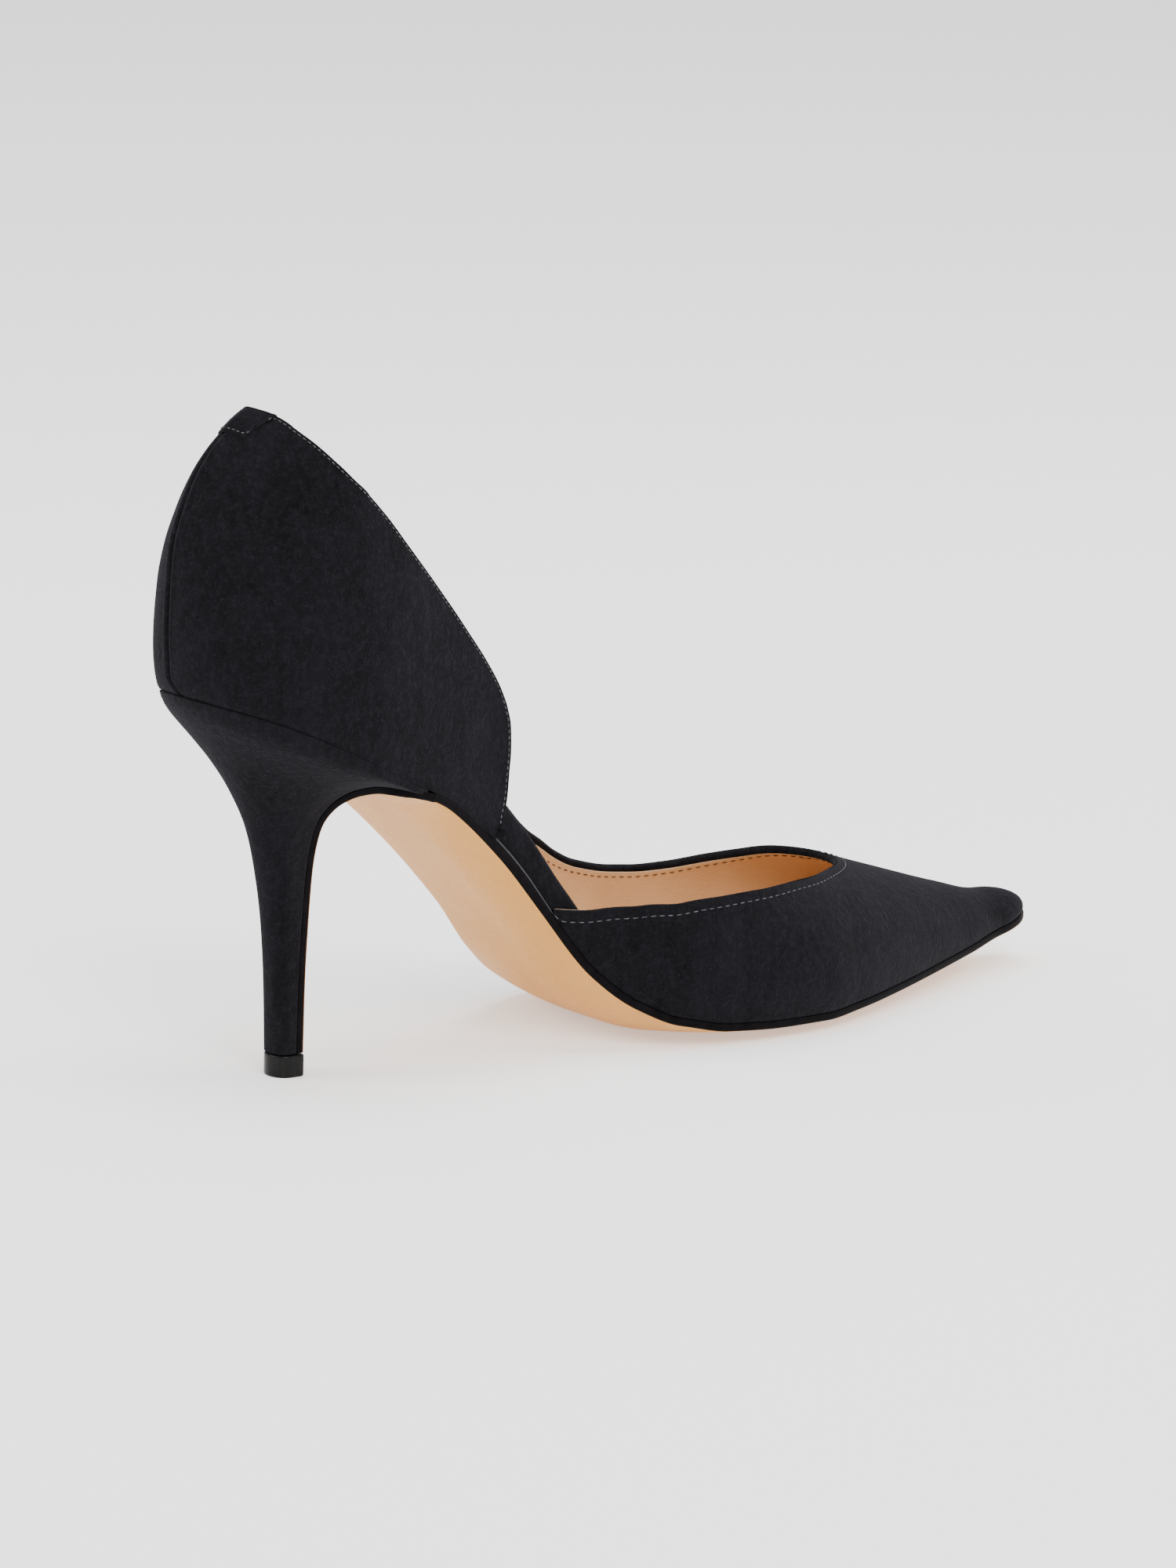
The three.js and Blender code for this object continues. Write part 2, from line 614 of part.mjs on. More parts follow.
function heelRing(t) {
  const front = breastRow(heel.breast(t), seam);
  const middle = front[(front.length - 1) / 2];
  const back = point(heel.backX(t) * lastLength, 0, heel.backZ(t) * heelHeight);
  const half = heel.half(t) * ballWidth;
  const cornerHalf = Math.min(half, front[front.length - 1].y);
  const widest = heel.widest(t);
  const places = halfRing(widest).map((along) => (side) => {
    const behind = roundEnd((widest - along) / widest, heelPower);
    const before = (along - widest) / (1 - widest);
    const width = along < widest ? half * behind : between(half, cornerHalf, before * before);
    return point(between(back.x, middle.x, along), side * width, between(back.z, middle.z, along));
  });
  return [...ringSide(places), ...front.slice(1, -1).reverse()];
}

// The flat or curved cap of a ring: rows across it from its front to its back.
function capRows(ring) {
  const sideCount = ring.length - (acrossSteps.length - 2);
  const half = (sideCount - 1) / 2;
  const front = [ring[0], ...ring.slice(sideCount).reverse(), ring[sideCount - 1]];
  const rest = steps(half).slice(1).map((t) => {
    const i = Math.round(t * half);
    const from = ring[i];
    const to = ring[sideCount - 1 - i];
    return acrossSteps.map((across) => from.clone().lerp(to, (across + 1) / 2));
  });
  return [front, ...rest];
}

function heelGeometry() {
  const seat = seatRing(breastPoint(heelTable[0].breast, 0).x);
  const rings = [seat, ...ringSteps.map((t) => heelRing(t))];
  const closedRings = rings.map((ring) => [...ring, ring[0]]);
  const seatRows = capRows(seat).map((row) => row.map((p) => onBed(p.x, p.y)));
  const endRows = capRows(rings[rings.length - 1]);
  return new Skin().rows(closedRings.reverse()).rows(seatRows.reverse()).rows(endRows).closed();
}

// Top piece: a hard cap of the heel's end and the flap's, a little larger all round.
function topPieceGeometry() {
  const end = heelRing(1);
  const backX = Math.min(...end.map((p) => p.x)) - topPieceOverhang;
  const frontX = breastPoint(1, 0).x + soleThickness + topPieceOverhang;
  const half = heel.half(1) * ballWidth + topPieceOverhang;
  const widest = heel.widest(1);
  const outline = ringSide(
    halfRing(widest).map((along) => (side) => {
      const width = along < widest ? half * roundEnd((widest - along) / widest, heelPower) : half;
      return new THREE.Vector2(between(backX, frontX, along), side * width);
    }),
  );
  return new THREE.ExtrudeGeometry(new THREE.Shape(outline), { depth: topPieceHeight, bevelEnabled: false });
}

const material = (color, roughness) => new THREE.MeshStandardMaterial({ color, roughness, metalness: 0 });
const suede = material(0x14141a, 0.95);
const soleLeather = material(0xd2ae90, 0.5);
const insoleLeather = material(0x17171b, 0.6);
const hardBlack = material(0x101012, 0.35);

function piece(name, geometry, finish) {
  const mesh = new THREE.Mesh(geometry, finish);
  mesh.name = name;
  return mesh;
}

const shoe = new THREE.Group();
shoe.add(
  piece('upper', upperGeometry(), suede),
  piece('insole', insoleGeometry(), insoleLeather),
  piece('outsole', outsoleGeometry(), soleLeather),
  piece('heel', heelGeometry(), suede),
  piece('top_piece', topPieceGeometry(), hardBlack),
  piece('back_tab', backTabGeometry(), suede),
);

const middle = new THREE.Box3().setFromObject(shoe).getCenter(new THREE.Vector3());
shoe.position.set(-middle.x, -middle.y, 0);

export default shoe;
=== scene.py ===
"""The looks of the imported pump: suede, lining, stitches and painted edges, laid over the last of its solids."""
import math
import bpy
import numpy as np
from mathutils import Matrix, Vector
from mathutils.bvhtree import BVHTree


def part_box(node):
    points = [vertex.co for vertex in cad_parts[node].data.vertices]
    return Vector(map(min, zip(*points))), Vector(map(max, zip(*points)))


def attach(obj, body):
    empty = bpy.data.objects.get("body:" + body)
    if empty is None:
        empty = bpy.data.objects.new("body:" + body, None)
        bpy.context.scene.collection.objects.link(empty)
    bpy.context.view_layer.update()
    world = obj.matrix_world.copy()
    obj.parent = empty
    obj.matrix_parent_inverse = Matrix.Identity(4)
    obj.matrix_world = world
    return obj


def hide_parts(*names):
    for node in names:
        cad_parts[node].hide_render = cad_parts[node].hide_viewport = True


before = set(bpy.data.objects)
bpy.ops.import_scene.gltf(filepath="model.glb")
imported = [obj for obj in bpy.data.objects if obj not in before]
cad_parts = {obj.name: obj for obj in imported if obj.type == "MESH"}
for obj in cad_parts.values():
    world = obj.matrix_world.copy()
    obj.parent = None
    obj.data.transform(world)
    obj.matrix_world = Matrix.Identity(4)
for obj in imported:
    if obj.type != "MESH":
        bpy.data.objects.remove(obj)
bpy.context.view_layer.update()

# Lengths are in millimetres up to to_metres(), which every mesh goes through.
LAST_LENGTH = 238.5
BALL_WIDTH = 72
HEEL_HEIGHT = 88
CREST_HEIGHT = 80
SOLE_THICKNESS = 1.8
UPPER_WALL = 1.8
INSOLE_THICKNESS = 3.2
WAIST_THICKNESS = 7.5
TOP_PIECE_HEIGHT = 5
TOP_PIECE_OVERHANG = 0.25
END_RISE = (TOP_PIECE_HEIGHT + 0.3) / HEEL_HEIGHT
TAB_THICKNESS = 1
TAB_WIDTH = 13
TAB_DROP = 6.5
HEEL_CENTRE = 0.16 * LAST_LENGTH
TOE_CENTRE = 0.955 * LAST_LENGTH
HEEL_POWER = 2.05
TOE_POWER = 2.2
SECTION_POWER = 2.1
WIDEST_SHARE = 0.22
FLAT_SHARE = 0.2
THROAT = 0.757
INNER, OUTER = -1, 1

# The last's own tables, as in the solids: shares of the lengths above.
LAST_COLUMNS = ("along", "bed", "inner", "outer", "crest", "inner_rise", "outer_rise")
LAST_TABLE = [
    (0.0, 1.0, 0.34, 0.34, 0.94, 0.0, 0.0),
    (0.06, 0.945, 0.34, 0.34, 0.955, 0.0, 0.0),
    (0.125, 0.865, 0.34, 0.34, 0.98, 0.0, 0.0),
    (0.16, 0.816, 0.338, 0.34, 0.99, 0.0, 0.0),
    (0.2, 0.752, 0.325, 0.335, 1.0, 0.01, 0.0),
    (0.26, 0.617, 0.29, 0.32, 0.99, 0.072, 0.012),
    (0.32, 0.457, 0.262, 0.31, 0.955, 0.09, 0.016),
    (0.37, 0.304, 0.27, 0.312, 0.9, 0.073, 0.02),
    (0.415, 0.148, 0.314, 0.345, 0.84, 0.063, 0.03),
    (0.455, 0.055, 0.37, 0.4, 0.77, 0.066, 0.038),
    (0.495, 0.01, 0.423, 0.45, 0.7, 0.062, 0.042),
    (0.54, 0.0, 0.462, 0.473, 0.645, 0.046, 0.042),
    (0.6, 0.0, 0.487, 0.473, 0.575, 0.038, 0.038),
    (0.65, 0.0, 0.482, 0.445, 0.505, 0.036, 0.034),
    (0.7, 0.012, 0.445, 0.4, 0.428, 0.03, 0.028),
    (0.76, 0.03, 0.377, 0.345, 0.34, 0.02, 0.018),
    (0.83, 0.048, 0.285, 0.255, 0.252, 0.014, 0.013),
    (0.9, 0.066, 0.19, 0.175, 0.167, 0.011, 0.01),
    (0.955, 0.088, 0.12, 0.118, 0.102, 0.008, 0.008),
    (1.0, 0.112, 0.1, 0.1, 0.082, 0.005, 0.005),
]
BACK_COLUMNS = ("rise", "lean", "ridge", "side")
BACK_TABLE = [
    (0.0, 0.022, 2.05, 2.05),
    (0.02, 0.007, 2.05, 2.05),
    (0.05, -0.006, 2.05, 2.05),
    (0.09, -0.015, 2.05, 2.05),
    (0.2, -0.022, 1.95, 2.05),
    (0.32, -0.016, 1.8, 2.02),
    (0.43, 0.006, 1.62, 1.96),
    (0.54, 0.072, 1.45, 1.88),
    (0.63, 0.157, 1.33, 1.8),
    (0.7, 0.258, 1.25, 1.74),
    (0.75, 0.362, 1.2, 1.7),
    (0.785, 0.455, 1.2, 1.67),
    (0.81, 0.55, 1.25, 1.65),
]
TOPLINE_COLUMNS = ("along", "share")
OUTER_TOPLINE = [
    (0.0, 0.803),
    (0.005, 0.803),
    (0.021, 0.799),
    (0.044, 0.775),
    (0.071, 0.75),
    (0.108, 0.71),
    (0.16, 0.64),
    (0.21, 0.57),
    (0.27, 0.515),
    (0.333, 0.5),
    (0.396, 0.555),
    (0.43, 0.605),
    (0.454, 0.633),
    (0.48, 0.63),
    (0.507, 0.61),
    (0.533, 0.567),
    (0.559, 0.532),
    (0.59, 0.521),
    (0.623, 0.545),
    (0.66, 0.624),
    (0.692, 0.73),
    (0.715, 0.824),
    (0.735, 0.93),
    (THROAT, 1.0),
]
VAMP_TOPLINE = [
    (0.374, 0.015),
    (0.384, 0.061),
    (0.4, 0.142),
    (0.42, 0.24),
    (0.44, 0.327),
    (0.476, 0.455),
    (0.517, 0.557),
    (0.552, 0.614),
    (0.596, 0.679),
    (0.652, 0.784),
    (0.7, 0.878),
    (0.735, 0.95),
    (THROAT, 1.0),
]
QUARTER_TOPLINE = [
    (0.0, 0.803),
    (0.005, 0.804),
    (0.021, 0.805),
    (0.034, 0.801),
    (0.044, 0.795),
    (0.071, 0.781),
    (0.108, 0.757),
    (0.138, 0.741),
    (0.16, 0.74),
]
QUARTER_COLUMNS = ("foot", "head", "share")
QUARTER_LINES = [
    (0.16, 0.16, 0.74),
    (0.176, 0.178, 0.702),
    (0.192, 0.197, 0.659),
    (0.21, 0.22, 0.62),
    (0.228, 0.244, 0.584),
    (0.246, 0.272, 0.55),
    (0.262, 0.297, 0.528),
    (0.274, 0.311, 0.505),
    (0.283, 0.3195, 0.468),
    (0.29, 0.3232, 0.413),
    (0.2955, 0.3228, 0.342),
    (0.3, 0.3208, 0.268),
    (0.3035, 0.3192, 0.19),
    (0.306, 0.316, 0.11),
    (0.308, 0.309, 0.02),
]
TAB_COLUMNS = ("reach", "drop")
TAB_TABLE = [
    (0.0, 0.72),
    (0.3, 0.7),
    (0.56, 0.69),
    (0.74, 0.74),
    (0.82, 0.78),
    (0.86, 0.68),
    (0.89, 0.42),
    (0.92, 0.44),
    (0.95, 0.2),
    (0.98, 0.18),
    (1.0, 0.04),
]
BREAST_COLUMNS = ("x", "z", "half")
BREAST_TABLE = [
    (0.225, 0.702, 0.33),
    (0.2145, 0.7245, 0.325),
    (0.204, 0.7405, 0.305),
    (0.192, 0.7445, 0.23),
    (0.179, 0.734, 0.165),
    (0.1665, 0.715, 0.127),
    (0.1555, 0.687, 0.101),
    (0.1455, 0.64, 0.082),
    (0.1388, 0.545, 0.068),
    (0.1355, 0.4, 0.06),
    (0.133, 0.23, 0.056),
    (0.132, END_RISE, 0.055),
]
HEEL_COLUMNS = ("back_x", "back_z", "breast", "half", "widest")
HEEL_TABLE = [
    (0.0045, 0.984, 0.05, 0.336, 0.82),
    (0.0115, 0.952, 0.27, 0.314, 0.79),
    (0.029, 0.897, 0.33, 0.265, 0.74),
    (0.05, 0.825, 0.4, 0.2, 0.7),
    (0.071, 0.737, 0.49, 0.142, 0.65),
    (0.089, 0.63, 0.6, 0.098, 0.6),
    (0.099, 0.52, 0.71, 0.077, 0.55),
    (0.1065, 0.38, 0.82, 0.063, 0.55),
    (0.1105, 0.23, 0.91, 0.058, 0.55),
    (0.1125, END_RISE, 1.0, 0.057, 0.55),
]
INSOLE_COLUMNS = ("along", "thickness")
INSOLE_TABLE = [
    (0.2, INSOLE_THICKNESS),
    (0.285, 1.2 * WAIST_THICKNESS),
    (0.3, 1.26 * WAIST_THICKNESS),
    (0.323, 1.21 * WAIST_THICKNESS),
    (0.339, 1.14 * WAIST_THICKNESS),
    (0.362, 1.05 * WAIST_THICKNESS),
    (0.385, 1.02 * WAIST_THICKNESS),
    (0.42, 0.8 * WAIST_THICKNESS),
    (0.5, INSOLE_THICKNESS),
    (0.85, INSOLE_THICKNESS),
    (0.95, INSOLE_THICKNESS / 2),
]

# What only the looks have.
SETTLE = 0.06  # the suede's lower edge over the outsole
EDGE_FOLD = 0.55  # how far the topline's folded edge rounds up
FOLD_RETURN = 2.0  # how far the fold reaches down inside
LINING_DROP = 1.1  # the lining's own edge below the topline
LINING_SHORTEST = 6.0  # the lowest wall that shows its lining
LINING_STEP = 0.12  # by which the lining stands proud of the fold
VAMP_STITCH_INSET = 2.3
QUARTER_STITCH_INSET = 0.7
LINING_STITCH_INSET = 2.25
VAMP_STITCH_PITCH = 2.05
QUARTER_STITCH_PITCH = 1.35
STITCH_SHARE = 0.68  # how much of the pitch a stitch takes
THREAD_RADIUS = 0.14
SEAM_BEND = 3.0  # how far the seam runs to the inner side at its foot
SEAM_BEND_RISE = 0.06
FOOT_TUCK = 0.16  # the suede rounds in at its foot, over this height
FOOT_ROUND = 0.6
SEAM_DEPTH = 0.55
SEAM_HALF = 0.45
# the radius of the grey cord that carries the painted highlight along the waist's joint
HIGHLIGHT_CORD_RADIUS = 0.22


def track(x, y):
    """A smooth curve through the points, monotone between them, so that it never overshoots."""
    x, y = np.array(x, float), np.array(y, float)
    slope = np.diff(y) / np.diff(x)
    tangent = np.zeros(len(x))
    tangent[0], tangent[-1] = slope[0], slope[-1]
    for i in range(1, len(x) - 1):
        if slope[i - 1] * slope[i] > 0:
            tangent[i] = 2 * slope[i - 1] * slope[i] / (slope[i - 1] + slope[i])

    def at(value):
        clamped = np.clip(value, x[0], x[-1])
        i = np.clip(np.searchsorted(x, clamped, side="left") - 1, 0, len(x) - 2)
        width = x[i + 1] - x[i]
        t = (clamped - x[i]) / width
        u = 1 - t
        level = y[i] * u * u * (1 + 2 * t) + y[i + 1] * t * t * (3 - 2 * t)
        return level + width * t * u * (tangent[i] * u - tangent[i + 1] * t)

    return at


class Tracks:
    """One such curve for each column after the key. With no key column the rows are spread evenly from 0 to 1."""

    def __init__(self, columns, rows, key=None):
        table = dict(zip(columns, zip(*rows)))
        place = table[key] if key else np.linspace(0, 1, len(rows))
        for column in columns:
            if column != key:
                setattr(self, column, track(place, table[column]))


last = Tracks(LAST_COLUMNS, LAST_TABLE, "along")
back = Tracks(BACK_COLUMNS, BACK_TABLE, "rise")
outer_share = Tracks(TOPLINE_COLUMNS, OUTER_TOPLINE, "along").share
vamp_share = Tracks(TOPLINE_COLUMNS, VAMP_TOPLINE, "along").share
quarter_share = Tracks(TOPLINE_COLUMNS, QUARTER_TOPLINE, "along").share
quarter = Tracks(QUARTER_COLUMNS, QUARTER_LINES)
tab_edge = Tracks(TAB_COLUMNS, TAB_TABLE, "reach").drop
breast = Tracks(BREAST_COLUMNS, BREAST_TABLE)
heel = Tracks(HEEL_COLUMNS, HEEL_TABLE)
insole_depth = Tracks(INSOLE_COLUMNS, INSOLE_TABLE, "along").thickness
THROAT_X = THROAT * LAST_LENGTH
VAMP_CORNER = VAMP_TOPLINE[0][0] * LAST_LENGTH

# The solids are shifted so that the origin is at their middle. The top piece tells by how much.
top_low, top_high = (np.array(corner) * 1000 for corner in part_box("top_piece"))
SHIFT = np.array([
    top_low[0] - HEEL_TABLE[-1][0] * LAST_LENGTH + TOP_PIECE_OVERHANG,
    (top_low[1] + top_high[1]) / 2,
    0,
])


def lerp(a, b, t):
    return a + (b - a) * t


def round_end(t, power):
    return np.maximum(0, 1 - np.minimum(1, np.maximum(0, t)) ** power) ** (1 / power)


def half_width(x, side, inset=0.0):
    """The bed's half width at x on one side, less an inset measured square to the outline."""
    def column(at):
        return np.where(np.asarray(side) < 0, last.inner(at / LAST_LENGTH), last.outer(at / LAST_LENGTH))

    straight = np.clip(x, HEEL_CENTRE, TOE_CENTRE)
    slope = BALL_WIDTH * (column(straight + 1) - column(straight - 1)) / 2
    width = BALL_WIDTH * column(x) - inset * np.hypot(1, slope)
    heel_end = round_end((HEEL_CENTRE - x) / (HEEL_CENTRE - inset), HEEL_POWER)
    toe_end = round_end((x - TOE_CENTRE) / (LAST_LENGTH - inset - TOE_CENTRE), TOE_POWER)
    return width * np.where(x < HEEL_CENTRE, heel_end, np.where(x > TOE_CENTRE, toe_end, 1))


def curl(x, y):
    """How much higher the bed is at a point than on its middle line."""
    side = np.where(np.asarray(y) < 0, INNER, OUTER)
    rise = BALL_WIDTH * np.where(side < 0, last.inner_rise(x / LAST_LENGTH), last.outer_rise(x / LAST_LENGTH))
    reach = np.minimum(1, np.abs(y) / np.maximum(half_width(x, side), 1e-6))
    return rise * np.maximum(0, (reach - FLAT_SHARE) / (1 - FLAT_SHARE)) ** 2


def bed_height(x, y):
    return SOLE_THICKNESS + (HEEL_HEIGHT - SOLE_THICKNESS) * last.bed(x / LAST_LENGTH) + curl(x, y)


def crest_over(x, foot_x, foot_y):
    return bed_height(x, 0) + CREST_HEIGHT * last.crest(x / LAST_LENGTH) - bed_height(foot_x, foot_y)


def narrowing(rise):
    """A section's narrowing at a share of its crest's height, 1 at the bed and 0 at the crest."""
    def at(height):
        return round_end(np.abs(height - WIDEST_SHARE) / (1 - WIDEST_SHARE), SECTION_POWER)

    return at(np.clip(rise, 0, 1)) / at(0)


def wall_height(foot_x, foot_y, rise, crest):
    return bed_height(foot_x, foot_y) + SETTLE + (crest - SETTLE) * rise


def stack(x, y, z):
    return np.stack(np.broadcast_arrays(x, y, z), axis=-1).astype(float)


# Places up a wall line, close together at its foot and crowded towards the topline.
RISES = np.concatenate([np.linspace(0, 0.08, 9), np.sin(np.linspace(0.12, math.pi / 2, 43))])[None, :]


def side_lines(foot_x, head_x, side, top):
    foot_x, head_x, top = (np.asarray(v, float)[:, None] for v in (foot_x, head_x, top))
    x = lerp(foot_x, head_x, RISES)
    foot_y = side * half_width(x, side)
    rise = RISES * top
    return stack(x, foot_y * narrowing(rise), wall_height(x, foot_y, rise, crest_over(x, x, foot_y)))


def top_share(x, share):
    return np.where(x < THROAT_X, share(x / LAST_LENGTH), 1.0)


def toe_lines(angle):
    near, far = np.zeros(len(angle)), np.full(len(angle), LAST_LENGTH)
    side = np.where(np.sin(angle) < 0, INNER, OUTER)
    for _ in range(50):
        middle = (near + far) / 2
        x = TOE_CENTRE + middle * np.cos(angle)
        inside = (x < LAST_LENGTH) & (np.abs(middle * np.sin(angle)) < half_width(x, side))
        near, far = np.where(inside, middle, near), np.where(inside, far, middle)
    foot_x = (TOE_CENTRE + near * np.cos(angle))[:, None]
    foot_y = (near * np.sin(angle))[:, None]
    reach = narrowing(RISES)
    crest = crest_over(TOE_CENTRE, foot_x, foot_y)
    x = TOE_CENTRE + (foot_x - TOE_CENTRE) * reach
    return stack(x, foot_y * reach, wall_height(foot_x, foot_y, RISES, crest))


def back_foot(turn):
    x = HEEL_CENTRE * (1 - np.cos(turn) ** (2 / HEEL_POWER))
    return x, np.sign(turn) * half_width(x, np.where(turn < 0, INNER, OUTER))


def back_points(turn, rise):
    foot_x, foot_y = back_foot(turn)
    side = np.where(turn < 0, INNER, OUTER)
    length = HEEL_CENTRE * (1 - back.lean(rise))
    half = half_width(np.full_like(foot_x, HEEL_CENTRE), side) * narrowing(rise)
    x = HEEL_CENTRE - length * np.cos(turn) ** (2 / back.side(rise))
    y = side * half * np.abs(np.sin(turn)) ** (2 / back.ridge(rise))
    return stack(x, y, wall_height(foot_x, foot_y, rise, crest_over(foot_x, foot_x, foot_y)))


def back_top(turn):
    at = back_foot(turn)[0] / LAST_LENGTH
    return np.where(turn > 0, outer_share(at), quarter_share(at))


def back_lines(turn):
    turn = turn[:, None]
    return back_points(turn, RISES * back_top(turn))


def quarter_lines(t):
    return side_lines(quarter.foot(t) * LAST_LENGTH, quarter.head(t) * LAST_LENGTH, INNER, quarter.share(t))


def crowded(start, end, count, power=2.0):
    """Places from start to end that crowd towards the end."""
    return lerp(start, end, 1 - (1 - np.linspace(0, 1, count)) ** power)


def upper_lines():
    """Wall lines from the vamp's inner corner round the toe, the outer side and the back to the quarter's
    front corner, with the run of those whose top is the open topline."""
    behind = crowded(VAMP_CORNER, THROAT_X, 130)
    before = np.linspace(THROAT_X, TOE_CENTRE, 45)[1:]
    waist = np.linspace(HEEL_CENTRE, VAMP_CORNER, 60)[:-1]
    turn = np.linspace(-1, 1, 151)[1:-1]
    turn = -np.sign(turn) * turn**2 * math.pi / 2
    parts = [
        side_lines(behind, behind, INNER, top_share(behind, vamp_share)),
        side_lines(before, before, INNER, np.ones(len(before))),
        toe_lines(np.linspace(-math.pi / 2, math.pi / 2, 40)[1:-1]),
        side_lines(before[::-1], before[::-1], OUTER, np.ones(len(before))),
        side_lines(behind[::-1], behind[::-1], OUTER, top_share(behind, outer_share)[::-1]),
        side_lines(waist[::-1], waist[::-1], OUTER, outer_share(waist / LAST_LENGTH)[::-1]),
        back_lines(turn),
        quarter_lines(np.linspace(0, 1, 110)),
    ]
    counts = [len(part) for part in parts]
    closed_from = counts[0] - 1
    closed_to = sum(counts[:4])
    return np.concatenate(parts), closed_from, closed_to, sum(counts[:6]), len(turn)


def quads(rows, columns, start=0):
    """Faces of a grid whose points run along its columns first."""
    i, j = np.meshgrid(np.arange(rows - 1), np.arange(columns - 1), indexing="ij")
    a = (start + i * columns + j).ravel()
    return np.stack([a, a + columns, a + columns + 1, a + 1], axis=1)


def joined(grids):
    """The points and faces of several grids."""
    starts = np.cumsum([0] + [grid.shape[0] * grid.shape[1] for grid in grids[:-1]])
    faces = [quads(*grid.shape[:2], start) for grid, start in zip(grids, starts)]
    return np.concatenate([grid.reshape(-1, 3) for grid in grids]), np.concatenate(faces)


def merged(points, faces):
    """The same faces with points at one place made one, and without those that this flattens."""
    _, first, index = np.unique(np.round(points, 3), axis=0, return_index=True, return_inverse=True)
    index = index.reshape(-1)
    kept = []
    for face in index[faces].tolist():
        ring = [v for i, v in enumerate(face) if v != face[i - 1]]
        if len(set(ring)) >= 3 and len(set(ring)) == len(ring):
            kept.append(ring)
    return points[first], kept, index


def grid_normals(points, faces):
    """Unit normals at a grid's points, shared between points at one place."""
    _, index = np.unique(np.round(points, 3), axis=0, return_inverse=True)
    index = index.reshape(-1)
    across = points[faces[:, 2]] - points[faces[:, 0]]
    other = points[faces[:, 3]] - points[faces[:, 1]]
    face_normals = np.cross(across, other)
    total = np.zeros((index.max() + 1, 3))
    for corner in range(4):
        np.add.at(total, index[faces[:, corner]], face_normals)
    normals = total[index]
    return normals / np.maximum(np.linalg.norm(normals, axis=1, keepdims=True), 1e-9)


def unit(vectors):
    return vectors / np.maximum(np.linalg.norm(vectors, axis=-1, keepdims=True), 1e-9)


def to_metres(points):
    return (np.asarray(points, float) + SHIFT) / 1000


def add_piece(name, points, faces, material, node, smooth=True):
    """A mesh piece in the scene, riding on the one body. It stands for the CAD node if one is named."""
    points, faces, _ = merged(np.asarray(points, float), np.asarray(faces))
    mesh = bpy.data.meshes.new(name)
    mesh.from_pydata(to_metres(points).tolist(), [], faces)
    mesh.validate()
    mesh.polygons.foreach_set("use_smooth", [smooth] * len(mesh.polygons))
    mesh.materials.append(material)
    piece = bpy.data.objects.new(name, mesh)
    bpy.context.scene.collection.objects.link(piece)
    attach(piece, "root")
    if node:
        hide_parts(node)
    return piece


# Materials. Textures lie in object space, which is the part's own frame in metres.
class Finish:
    """A Principled material with its texture nodes."""

    def __init__(self, name, colour, roughness, **sockets):
        self.material = bpy.data.materials.new(name)
        self.material.use_nodes = True
        self.tree = self.material.node_tree
        self.shader = self.tree.nodes["Principled BSDF"]
        self.coordinates = self.tree.nodes.new("ShaderNodeTexCoord").outputs["Object"]
        self.material.diffuse_color = (*colour, 1)
        self.shader.inputs["Base Color"].default_value = (*colour, 1)
        self.shader.inputs["Roughness"].default_value = roughness
        for socket, value in sockets.items():
            self.shader.inputs[socket.replace("_", " ")].default_value = value

    def node(self, kind, values=(), **settings):
        node = self.tree.nodes.new(kind)
        for key, value in settings.items():
            setattr(node, key, value)
        for key, value in dict(values).items():
            if isinstance(value, bpy.types.NodeSocket):
                self.tree.links.new(value, node.inputs[key])
            else:
                node.inputs[key].default_value = value
        return node

    def noise(self, scale, detail=3.0, roughness=0.6, distortion=0.0, stretch=(1, 1, 1)):
        mapping = self.node("ShaderNodeMapping", {"Vector": self.coordinates, "Scale": stretch})
        values = {"Vector": mapping.outputs[0], "Scale": scale, "Detail": detail, "Roughness": roughness}
        return self.node("ShaderNodeTexNoise", {**values, "Distortion": distortion}).outputs["Fac"]

    def cells(self, scale):
        values = {"Vector": self.coordinates, "Scale": scale}
        return self.node("ShaderNodeTexVoronoi", values, feature="DISTANCE_TO_EDGE").outputs["Distance"]

    def levels(self, value, low, high, out_low=0.0, out_high=1.0):
        values = {0: value, 1: low, 2: high, 3: out_low, 4: out_high}
        return self.node("ShaderNodeMapRange", values).outputs[0]

    def math(self, operation, a, b):
        return self.node("ShaderNodeMath", {0: a, 1: b}, operation=operation).outputs[0]

    def mix(self, factor, a, b):
        node = self.node("ShaderNodeMix", data_type="RGBA")
        for key, value in ((0, factor), (6, a), (7, b)):
            if isinstance(value, bpy.types.NodeSocket):
                self.tree.links.new(value, node.inputs[key])
            elif key:
                node.inputs[key].default_value = (*value, 1)
            else:
                node.inputs[key].default_value = value
        return node.outputs[2]

    def colour(self, value):
        self.tree.links.new(value, self.shader.inputs["Base Color"])

    def roughness(self, value):
        self.tree.links.new(value, self.shader.inputs["Roughness"])

    def bump(self, *layers):
        """layers: (height, distance in metres) from the coarsest to the finest."""
        normal = None
        for height, distance in layers:
            values = {"Height": height, "Distance": distance, "Strength": 1.0}
            node = self.node("ShaderNodeBump", values)
            if normal:
                self.tree.links.new(normal, node.inputs["Normal"])
            normal = node.outputs[0]
        self.tree.links.new(normal, self.shader.inputs["Normal"])


